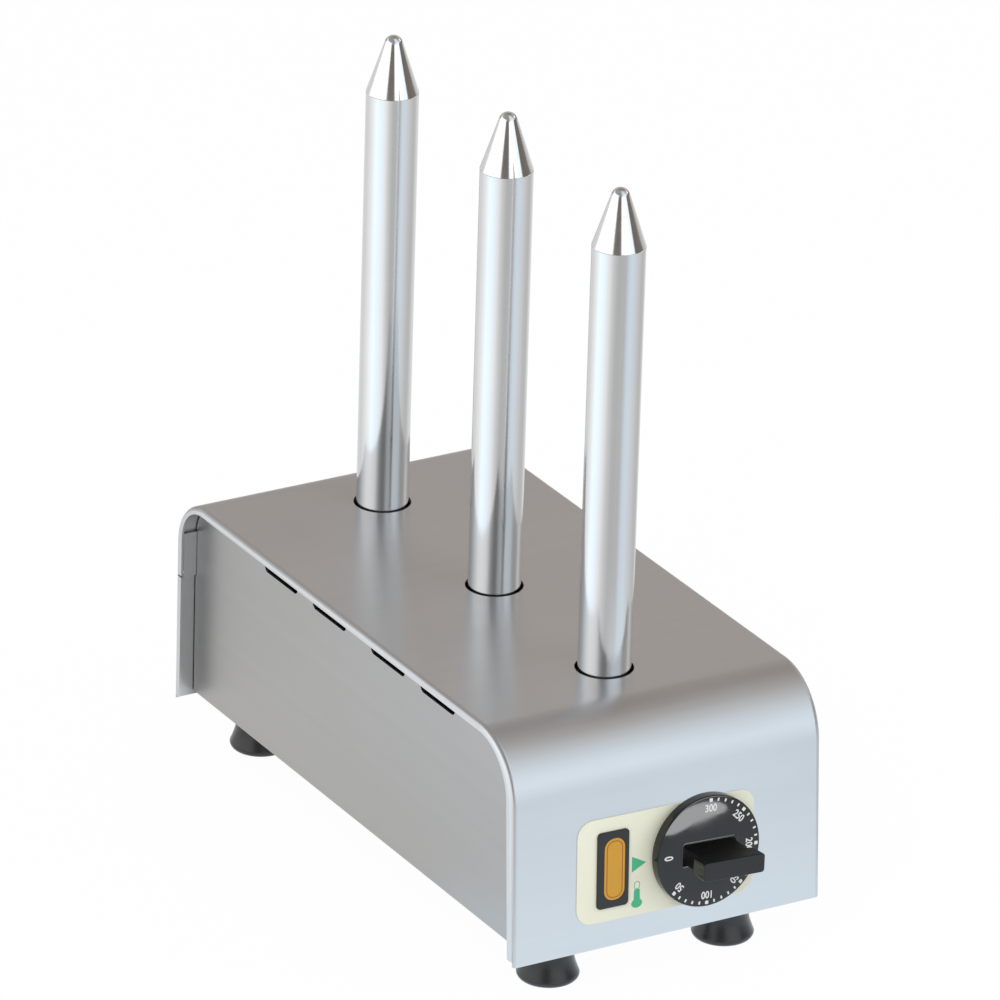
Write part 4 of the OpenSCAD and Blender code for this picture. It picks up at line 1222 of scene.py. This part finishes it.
    def printed(self, part: bpy.types.Object, angle: float, radius: float,
                spin: float) -> bpy.types.Object:
        """Put a mark on the disc.

        Args:
            part: the mark about the origin.
            angle: its bearing from the X axis, in degrees.
            radius: its distance from the axis.
            spin: its own turn in degrees.

        Returns:
            The mark in the knob's frame.
        """
        a = math.radians(angle)
        place = Vector((math.cos(a) * radius, math.sin(a) * radius,
                        self.front - self.dip(radius))) * MM
        return Forge.move(part, Matrix.Translation(place)
                          @ Matrix.Rotation(math.radians(spin), 4, "Z"))

    def figures(self) -> bpy.types.Object:
        """Print the degrees and the ticks on the disc.

        Returns:
            The print in the row frame.
        """
        parts = []
        for step, value in enumerate(self.figure_values):
            angle = self.figure_start + self.figure_pitch * step
            parts.append(self.printed(self.figure(value), angle, self.figure_radius, angle - 90))
        for step in range(self.tick_count):
            angle = self.tick_start + self.tick_pitch * step
            width, height = self.square if step % 5 == 0 else self.dash
            corner = height * self.dash_corner_share
            mark = Forge.slab("tick", Forge.outline(width, height, corner, 3),
                              -self.print_height, self.print_height)
            parts.append(self.printed(mark, angle, self.tick_radius, angle))
        scale = Forge.join("dial_figures", *parts)
        Forge.move(scale, self.frame())
        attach(scale, DIAL)
        scale.visible_glossy = False
        return scale

    def build(self, finishes: Finishes) -> None:
        """Make and dress the knob.

        Args:
            finishes: the grill's finishes.
        """
        self.knob(finishes)
        finishes.put("dial_print", self.figures())
        finishes.put("bright_fastener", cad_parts["thermostat_shaft"],
                     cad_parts["knob_spring_clip"])
        LOG.info("knob moulded and printed")


@dataclass
class Label:
    """The cream label with its badge and the two green symbols."""

    case: Case
    x: float = -1.5
    up: float = 38.0
    turn: float = 1.0
    width: float = 94.0
    height: float = 51.0
    corner: float = 8.0
    film: float = 0.5
    film_edge: float = 0.15
    badge_thick: float = 1.0
    badge_edge: float = 0.3
    badge_x: float = -28.4
    badge_width: float = 16.6
    badge_height: float = 37.6
    badge_corner: float = 2.0
    field_x: float = -27.7
    field_width: float = 11.0
    field_height: float = 30.6
    field_corner: float = 5.0
    field_gap: float = 0.05
    field_floor: float = 0.5
    field_thick: float = 0.97
    field_edge: float = 0.25
    line_floor: float = 0.95
    line_inset: float = 1.2
    line_width: float = 0.5
    print_low: float = 0.48
    print_high: float = 0.54
    triangle: tuple[tuple[float, float], ...] = ((-18.0, -4.0), (-10.4, -0.2), (-18.0, 3.8))
    bulb: tuple[float, float] = (-15.1, -19.7)
    bulb_size: tuple[float, float] = (2.9, 2.2)
    bulb_parts: int = 40
    stem_width: float = 3.0
    liquid: float = -12.8
    glass_top: float = -8.8
    glass_wall: float = 0.35
    glass_width: float = 3.2
    glass_corner: float = 1.5

    def frame(self) -> Matrix:
        """Frame of the label, turned a little as it is stuck on."""
        turn = Matrix.Rotation(math.radians(-self.turn), 4, "Z")
        return self.case.face_matrix(self.x, self.up) @ turn

    def fit(self, piece: bpy.types.Object, node: str) -> bpy.types.Object:
        """Shade a piece, put it on the front, hide the CAD node that it replaces and attach it to
        the housing.

        Args:
            piece: the piece in the label's frame.
            node: CAD node that it replaces, or nothing.

        Returns:
            The same piece.
        """
        Forge.shade(piece, angle=40.0)
        Forge.move(piece, self.frame())
        if node:
            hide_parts(node)
        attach(piece, HOUSING)
        return piece

    def film_sheet(self) -> bpy.types.Object:
        """Cut the label with its round corners and the thermostat's holes.

        Returns:
            The label in the row frame.
        """
        film = Forge.slab("label_film_sheet",
                          Forge.outline(self.width, self.height, self.corner, 14), 0.0,
                          self.film, self.film_edge)
        to_label = self.frame().inverted()
        Forge.cut(film, Forge.join("holes", *(
            Forge.drill(radius, to_label @ self.case.face_matrix(Dial.x + off, Dial.up))
            for off, radius in self.case.shaft_holes)))
        return self.fit(film, "label_plate")

    def badge(self) -> bpy.types.Object:
        """Form the dark badge with the pocket for its field.

        Returns:
            The badge in the row frame.
        """
        outline = Forge.outline(self.badge_width, self.badge_height, self.badge_corner, 8)
        badge = Forge.slab("badge_moulding", [(x + self.badge_x, y) for x, y in outline],
                           self.film, self.film + self.badge_thick, self.badge_edge)
        hollow = Forge.outline(self.field_width, self.field_height, self.field_corner, 8)
        Forge.cut(badge, Forge.slab("pocket", [(x + self.field_x, y) for x, y in hollow],
                                    self.film + self.field_floor, self.film + OVERRUN))
        return self.fit(badge, "badge_plate")

    def amber(self) -> bpy.types.Object:
        """Form the amber field.

        Returns:
            The field in the row frame.
        """
        gap = 2 * self.field_gap
        outline = Forge.outline(self.field_width - gap, self.field_height - gap,
                                self.field_corner - self.field_gap, 8)
        amber = Forge.slab("amber_field", [(x + self.field_x, y) for x, y in outline],
                           self.film + self.field_floor, self.film + self.field_thick,
                           self.field_edge)
        return self.fit(amber, "badge_field")

    @staticmethod
    def ring(name: str, middle: tuple[float, float], size: tuple[float, float], corner: float,
             wall: float, levels: tuple[float, float]) -> bpy.types.Object:
        """Form a thin rounded frame.

        Args:
            name: name of the piece.
            middle: its middle.
            size: width and height outside.
            corner: corner radius outside.
            wall: width of its line.
            levels: height of its back and front.

        Returns:
            The frame in the label's frame.
        """
        outer, inner = (
            [(middle[0] + x, middle[1] + y) for x, y in Forge.outline(
                size[0] - 2 * step, size[1] - 2 * step, corner - step, 8)]
            for step in (0.0, wall))
        low, high = levels
        return Forge.loft(name, [[(x, y, level) for x, y in ring] for ring, level in (
            (outer, low), (outer, high), (inner, high), (inner, low))], looped=True)

    def border(self) -> bpy.types.Object:
        """Print the thin brown line round the amber field.

        Returns:
            The line in the row frame.
        """
        step = 2 * self.line_inset
        line = self.ring("field_line", (self.field_x, 0.0),
                         (self.field_width - step, self.field_height - step),
                         self.field_corner - self.line_inset, self.line_width,
                         (self.film + self.line_floor, self.film + self.badge_thick))
        return self.fit(line, "")

    def symbols(self) -> bpy.types.Object:
        """Print the green triangle and the thermometer.

        Returns:
            The print in the row frame.
        """
        low, high = self.print_low, self.print_high
        parts = [Forge.slab("triangle", list(self.triangle), low, high)]
        (x, y), (rx, ry) = self.bulb, self.bulb_size
        half = self.stem_width / 2
        neck = math.asin(half / rx)
        turn = (2 * math.pi * k / self.bulb_parts for k in range(self.bulb_parts))
        bulb = [(x + rx * math.sin(a), y + ry * math.cos(a))
                for a in turn if neck <= a <= 2 * math.pi - neck]
        stem = [(x + half, self.liquid), (x - half, self.liquid)]
        parts.append(Forge.slab("liquid", bulb[::-1] + stem, low, high))
        tall = self.glass_top - self.liquid
        parts.append(self.ring("glass", (x, self.liquid + tall / 2), (self.glass_width, tall),
                               self.glass_corner, self.glass_wall, (low, high)))
        return self.fit(Forge.join("label_symbols", *parts), "")

    def build(self, finishes: Finishes) -> None:
        """Make and dress the label.

        Args:
            finishes: the grill's finishes.
        """
        finishes.put("label_film", self.film_sheet())
        finishes.put("badge_plastic", self.badge())
        finishes.put("amber_plastic", self.amber())
        finishes.put("amber_line", self.border())
        finishes.put("green_print", self.symbols())
        LOG.info("label cut and printed")


@dataclass
class Feet:
    """The four moulded rubber feet."""

    radius: float = 14.7
    base_round: float = 3.0
    waist: float = 12.0
    waist_height: float = 11.5
    top: float = 11.0
    pocket: float = 6.5
    pocket_height: float = 10.0
    pocket_chamfer: float = 0.5
    hole: float = 2.7
    flare_power: float = 1.35
    neck_rise: float = 1.5
    neck_step: float = 0.3
    top_chamfer: float = 0.4
    flare_parts: int = 8

    def foot(self, name: str, height: float) -> bpy.types.Object:
        """Turn one foot.

        Args:
            name: name of the piece.
            height: height of its top.

        Returns:
            The foot about the Z axis.
        """
        profile = [(self.hole, height), (self.hole, self.pocket_height),
                   (self.pocket, self.pocket_height), (self.pocket, self.pocket_chamfer),
                   (self.pocket + self.pocket_chamfer, 0.0)]
        profile += Forge.arc((self.radius - self.base_round, self.base_round),
                             self.base_round, -90, 0, 8)
        rise = self.waist_height - self.base_round
        for k in range(1, self.flare_parts + 1):
            share = k / self.flare_parts
            ease = 1 - (1 - share) ** self.flare_power
            profile.append((self.radius + (self.waist - self.radius) * ease,
                            self.base_round + rise * share))
        profile += [(self.waist - self.neck_step, self.waist_height + self.neck_rise),
                    (self.top, height - self.top_chamfer), (self.top - self.top_chamfer, height)]
        foot = Forge.turn(name, profile, 96, closed=True)
        Forge.shade(foot, angle=35.0)
        return foot

    def build(self, finishes: Finishes) -> None:
        """Make and dress the feet.

        Args:
            finishes: the grill's finishes.
        """
        for name in ("front_left", "front_right", "rear_left", "rear_right"):
            node = f"{name}_foot"
            low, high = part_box(node)
            foot = self.foot(f"{name}_rubber", high.z / MM)
            middle = Vector(((low.x + high.x) / 2, (low.y + high.y) / 2, 0))
            Forge.move(foot, Matrix.Translation(middle))
            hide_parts(node)
            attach(foot, HOUSING)
            finishes.put("foot_rubber", foot)
        LOG.info("feet moulded")


@dataclass
class Innards:
    """Everything else in the case, which keeps its CAD shape."""

    finish_of: dict[str, tuple[str, ...]] = field(default_factory=lambda: {
        "bright_fastener": ("spike_lock_nuts", "spike_collars", "thermostat_screws",
                            "foot_washers", "foot_screws", "foot_nuts", "bottom_screws",
                            "rear_screws", "rail_rivets"),
        "zinc_sheet": ("bulb_clip",),
        "heater_sheath": ("front_heater", "middle_heater", "rear_heater"),
        "ceramic": ("heater_bushes", "pin_connectors", "terminal_block"),
        "brass": ("heater_pins", "thermostat_terminals", "terminal_screws", "earth_stud",
                  "earth_nut", "earth_lug"),
        "thermostat_case": ("thermostat_body",),
        "copper": ("sensing_bulb", "capillary_tube"),
        "black_nylon": ("cable_gland", "gland_lock_nut"),
        "brown_sleeve": ("heater_link_wires", "live_wire", "heater_feed_wire"),
        "blue_sleeve": ("neutral_wire",),
        "earth_sleeve": ("earth_wire",),
    })

    def build(self, finishes: Finishes) -> None:
        """Dress the pieces.

        Args:
            finishes: the grill's finishes.
        """
        for finish, names in self.finish_of.items():
            for name in names:
                finishes.put(finish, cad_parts[name])
                LOG.info("%s dressed", name)


@dataclass
class Studio:
    """Camera, floor, lamps and what the steel reflects of the room."""

    shift: float
    azimuth: float = -30.76
    elevation: float = 24.114
    roll: float = 1.724
    distance: float = 4754.0
    lens: float = 360.44
    sensor: float = 36.0
    clip: tuple[float, float] = (0.1, 60.0)
    target: Point = (43.75, 73.1, 138.2)
    aim: Point = (0.0, 0.0, 0.15)
    floor_half: float = 9000.0
    floor_drop: float = 0.2
    paper: Colour = (0.86, 0.86, 0.86)
    white_share: float = 0.97
    soft: Colour = (0.97, 0.985, 1.0)
    soft_level: float = 0.74
    low_wall: Stops = (
        (0, 0.34, Tint.WARM), (138, 0.17, Tint.TAN), (143, 1.43, Tint.COOL),
        (157, 1.43, Tint.COOL), (164, 1.6, Tint.PLAIN), (197, 1.6, Tint.PLAIN),
        (203, 0.19, Tint.WARM), (232, 0.19, Tint.WARM), (238, 1.5, Tint.PLAIN),
        (320, 1.5, Tint.PLAIN), (335, 0.4, Tint.PLAIN), (360, 0.34, Tint.WARM),
    )
    high_wall: Stops = (
        (0, 0.68, Tint.WARM), (31, 0.74, Tint.WARM), (60, 0.8, Tint.WARM),
        (84, 0.8, Tint.PLAIN), (89, 2.0, Tint.PLAIN), (95, 2.0, Tint.PLAIN),
        (100, 0.7, Tint.PLAIN), (125, 0.8, Tint.PLAIN), (140, 1.3, Tint.COOL),
        (170, 1.36, Tint.COOL), (195, 0.7, Tint.COOL), (206, 0.33, Tint.PLAIN),
        (222, 0.33, Tint.PLAIN), (246, 1.5, Tint.PLAIN), (290, 1.75, Tint.PLAIN),
        (322, 1.2, Tint.COOL), (340, 1.0, Tint.PLAIN), (360, 0.68, Tint.WARM),
    )
    ceiling: Stops = (
        (0, 0.34, Tint.WARM), (54, 0.27, Tint.TAN), (85, 0.38, Tint.TAN),
        (104, 0.5, Tint.WARM), (120, 0.61, Tint.WARM), (131, 0.78, Tint.PLAIN),
        (145, 1.05, Tint.COOL), (175, 1.0, Tint.COOL), (205, 0.35, Tint.PLAIN),
        (300, 0.45, Tint.PLAIN), (360, 0.34, Tint.WARM),
    )
    far_table: Stops = (
        (0, 0.85, Tint.PLAIN), (61, 0.88, Tint.PLAIN), (88, 0.62, Tint.PLAIN),
        (104, 0.66, Tint.PLAIN), (125, 0.8, Tint.PLAIN), (143, 0.92, Tint.COOL),
        (157, 0.95, Tint.COOL), (168, 0.85, Tint.COOL), (177, 0.62, Tint.PLAIN),
        (206, 0.6, Tint.PLAIN), (226, 0.82, Tint.PLAIN), (241, 1.1, Tint.PLAIN),
        (258, 1.3, Tint.COOL), (285, 1.45, Tint.COOL), (311, 1.1, Tint.PLAIN),
        (339, 0.85, Tint.PLAIN), (360, 0.85, Tint.PLAIN),
    )
    near_table: Stops = (
        (0, 1.0, Tint.PLAIN), (105, 1.0, Tint.PLAIN), (135, 1.2, Tint.COOL),
        (235, 1.2, Tint.COOL), (260, 1.0, Tint.PLAIN), (360, 1.0, Tint.PLAIN),
    )
    low_top: float = 0.24
    high_foot: float = 0.375
    high_top: float = 0.46
    ceiling_foot: float = 0.66
    table_near: float = 0.26
    table_far: float = 0.5
    table_narrow: float = 0.6
    knob_glare: float = 5.2

    def camera(self) -> None:
        """Set up the camera where the photograph was taken."""
        a, e, r = (math.radians(v) for v in (self.azimuth, self.elevation, self.roll))
        back = Vector((math.sin(a) * math.cos(e), -math.cos(a) * math.cos(e), math.sin(e)))
        right = Vector((math.cos(a), math.sin(a), 0))
        up = back.cross(right)
        level = right * math.cos(r) + up * math.sin(r)
        plumb = up * math.cos(r) - right * math.sin(r)
        data = bpy.data.cameras.new("camera")
        data.sensor_width = self.sensor
        data.lens = self.lens
        data.clip_start, data.clip_end = self.clip
        camera = show("camera", data)
        aim = Vector((self.target[0], self.target[1] + self.shift, self.target[2])) * MM
        turn = Matrix((level, plumb, back)).transposed().to_4x4()
        camera.matrix_world = Matrix.Translation(aim + back * self.distance * MM) @ turn
        bpy.context.scene.camera = camera

    @staticmethod
    def area(name: str, shape: str, size: tuple[float, float], power: float) -> bpy.types.Object:
        """Make one soft lamp that the camera doesn't see.

        Args:
            name: name of the lamp.
            shape: Blender's name of its shape.
            size: width and height in metres.
            power: watts.

        Returns:
            The lamp.
        """
        data = bpy.data.lights.new(name, "AREA")
        data.shape = shape
        data.size, data.size_y = size
        data.energy = power
        lamp = show(name, data)
        lamp.visible_camera = False
        return lamp

    def lamp(self, name: str, place: Point, side: float, power: float,
             colour: Colour = WHITE) -> None:
        """Hang one square lamp that doesn't show in reflections.

        Args:
            name: name of the lamp.
            place: where it hangs, in metres.
            side: its width and height in metres.
            power: watts.
            colour: its colour.
        """
        lamp = self.area(name, "RECTANGLE", (side, side), power)
        lamp.data.color = colour
        lamp.location = place
        lamp.rotation_euler = (Vector(place) - Vector(self.aim)).to_track_quat("Z", "Y").to_euler()
        lamp.visible_glossy = False

    @staticmethod
    def bearing() -> bpy.types.NodeTree:
        """Group that turns a place or direction into its bearing from the rear.

        Returns:
            The group, with outputs Bearing, Rise and Distance.
        """
        group, w, given, result = Effects.group(
            "bearing", {"Position": "NodeSocketVector", "Narrow": "NodeSocketFloat"},
            ("Bearing", "Rise", "Distance"))
        parts = w.add("SeparateXYZ", Vector=given["Position"]).outputs
        turn = w.math("DIVIDE", w.math("ARCTAN2", parts["X"], parts["Y"]), 2 * math.pi)
        across = w.math("POWER", w.math("DIVIDE", parts["X"], given["Narrow"]), 2.0)
        along = w.math("POWER", parts["Y"], 2.0)
        w.feed(result["Bearing"], w.math("FRACT", w.math("ADD", turn, 1.0)))
        w.feed(result["Rise"], parts["Z"])
        w.feed(result["Distance"], w.math("SQRT", w.math("ADD", across, along)))
        return group

    @staticmethod
    def seen(w: Wiring) -> tuple[bpy.types.NodeSocket, bpy.types.NodeSocket]:
        """Tell which rays see the background itself.

        Args:
            w: wiring of the material or world.

        Returns:
            The camera's rays alone, and the camera's with the reflected and transmitted ones.
        """
        rays = w.add("LightPath").outputs
        camera = rays["Is Camera Ray"]
        mirrored = w.math("MAXIMUM", rays["Is Glossy Ray"], rays["Is Transmission Ray"])
        return camera, w.math("MAXIMUM", camera, mirrored)

    @staticmethod
    def mix(w: Wiring, share: bpy.types.NodeSocket, first: bpy.types.Node,
            second: bpy.types.Node) -> bpy.types.Node:
        """Mix two shaders.

        Args:
            w: wiring of the material or world.
            share: share of the second shader.
            first: the first shader.
            second: the second shader.

        Returns:
            The mixing node.
        """
        node = w.add("MixShader", Fac=share)
        w.feed(node.inputs[1], first.outputs[0])
        w.feed(node.inputs[2], second.outputs[0])
        return node

    def floor(self, bearing: bpy.types.NodeTree) -> None:
        """Lay the plain pale floor, white to the camera, with the table's shades in reflections.

        Args:
            bearing: the group that gives the bearing.
        """
        h = self.floor_half
        floor = Forge.piece("floor", [(-h, -h, 0), (h, -h, 0), (h, h, 0), (-h, h, 0)],
                            [(0, 1, 2, 3)])
        floor.location.z = -self.floor_drop * MM
        material = bpy.data.materials.new("pale_floor")
        w = Wiring.fresh(material)
        place = w.add("Group", node_tree=bearing, Narrow=self.table_narrow,
                      Position=w.add("TexCoord").outputs["Object"]).outputs
        far = w.ease(place["Distance"], self.table_near, self.table_far)
        shade = w.blend(far, w.ramp(place["Bearing"], self.near_table),
                        w.ramp(place["Bearing"], self.far_table))
        camera, any_seen = self.seen(w)
        white = w.add("Emission", Strength=1.0, Color=w.blend(camera, shade, WHITE))
        paper = w.add("BsdfDiffuse", Color=(*self.paper, 1.0))
        share = w.math("MULTIPLY", any_seen, self.white_share)
        w.close("OutputMaterial", self.mix(w, share, paper, white))
        material.cycles.emission_sampling = "NONE"
        floor.data.materials.append(material)

    def world(self, bearing: bpy.types.NodeTree) -> None:
        """Fill the room with soft light, white to the camera, with walls in reflections.

        Args:
            bearing: the group that gives the bearing.
        """
        world = bpy.data.worlds.new("studio")
        bpy.context.scene.world = world
        w = Wiring.fresh(world)
        place = w.add("Group", node_tree=bearing, Narrow=1.0,
                      Position=w.add("TexCoord").outputs["Generated"]).outputs
        wall = w.blend(w.ease(place["Rise"], self.low_top, self.high_foot),
                       w.ramp(place["Bearing"], self.low_wall),
                       w.ramp(place["Bearing"], self.high_wall))
        room = w.blend(w.ease(place["Rise"], self.high_top, self.ceiling_foot), wall,
                       w.ramp(place["Bearing"], self.ceiling))
        camera, any_seen = self.seen(w)
        soft = w.add("Background", Color=(*self.soft, 1.0), Strength=self.soft_level)
        white = w.add("Background", Strength=1.0, Color=w.blend(camera, room, WHITE))
        w.close("OutputWorld", self.mix(w, any_seen, soft, white))
        world.cycles.sampling_method = "NONE"

    def knob_lamp(self, dial: Dial, name: str, place: Point, size: tuple[float, float]) -> None:
        """Hang a small soft lamp close before the knob, whose disc alone it lights.

        Args:
            dial: the knob.
            name: name of the lamp.
            place: its middle in the knob's frame.
            size: width and height in millimetres.
        """
        width, height = (side * MM for side in size)
        lamp = self.area(name, "ELLIPSE", (width, height),
                         self.knob_glare * math.pi * width * height)
        lamp.matrix_world = dial.frame() @ Matrix.Translation(Vector(place) * MM)
        only = bpy.data.collections.new(name)
        only.objects.link(bpy.data.objects["knob_disc"])
        lamp.light_linking.receiver_collection = only

    def build(self) -> None:
        """Set up the studio except for the knob's own lamps."""
        bearing = self.bearing()
        self.camera()
        self.floor(bearing)
        self.world(bearing)
        self.lamp("key", place=(-1.6, -1.5, 1.9), side=1.4, power=36.0)
        self.lamp("fill", place=(1.7, -1.4, 1.0), side=1.2, power=13.0, colour=(0.93, 0.97, 1.0))
        bpy.context.scene.view_settings.view_transform = "Standard"
        LOG.info("studio set")


def main() -> None:
    """Build the grill's pieces in order and set up the studio."""
    logging.basicConfig(level=logging.INFO, format="%(name)s: %(message)s")
    finishes = Finishes()
    case = Case()
    dial = Dial(case)
    studio = Studio(shift=case.rear - case.length / 2)
    studio.build()
    for part in (case, Spikes(case), Label(case), dial, Feet(), Innards()):
        part.build(finishes)
        LOG.info("%s done", type(part).__name__)
    studio.knob_lamp(dial, "knob_lamp_low", place=(28.5, -8.9, 78.3), size=(50.6, 18.6))
    studio.knob_lamp(dial, "knob_lamp_high", place=(32.0, 31.0, 78.3), size=(90.0, 30.0))


if __name__ == "__main__":
    main()
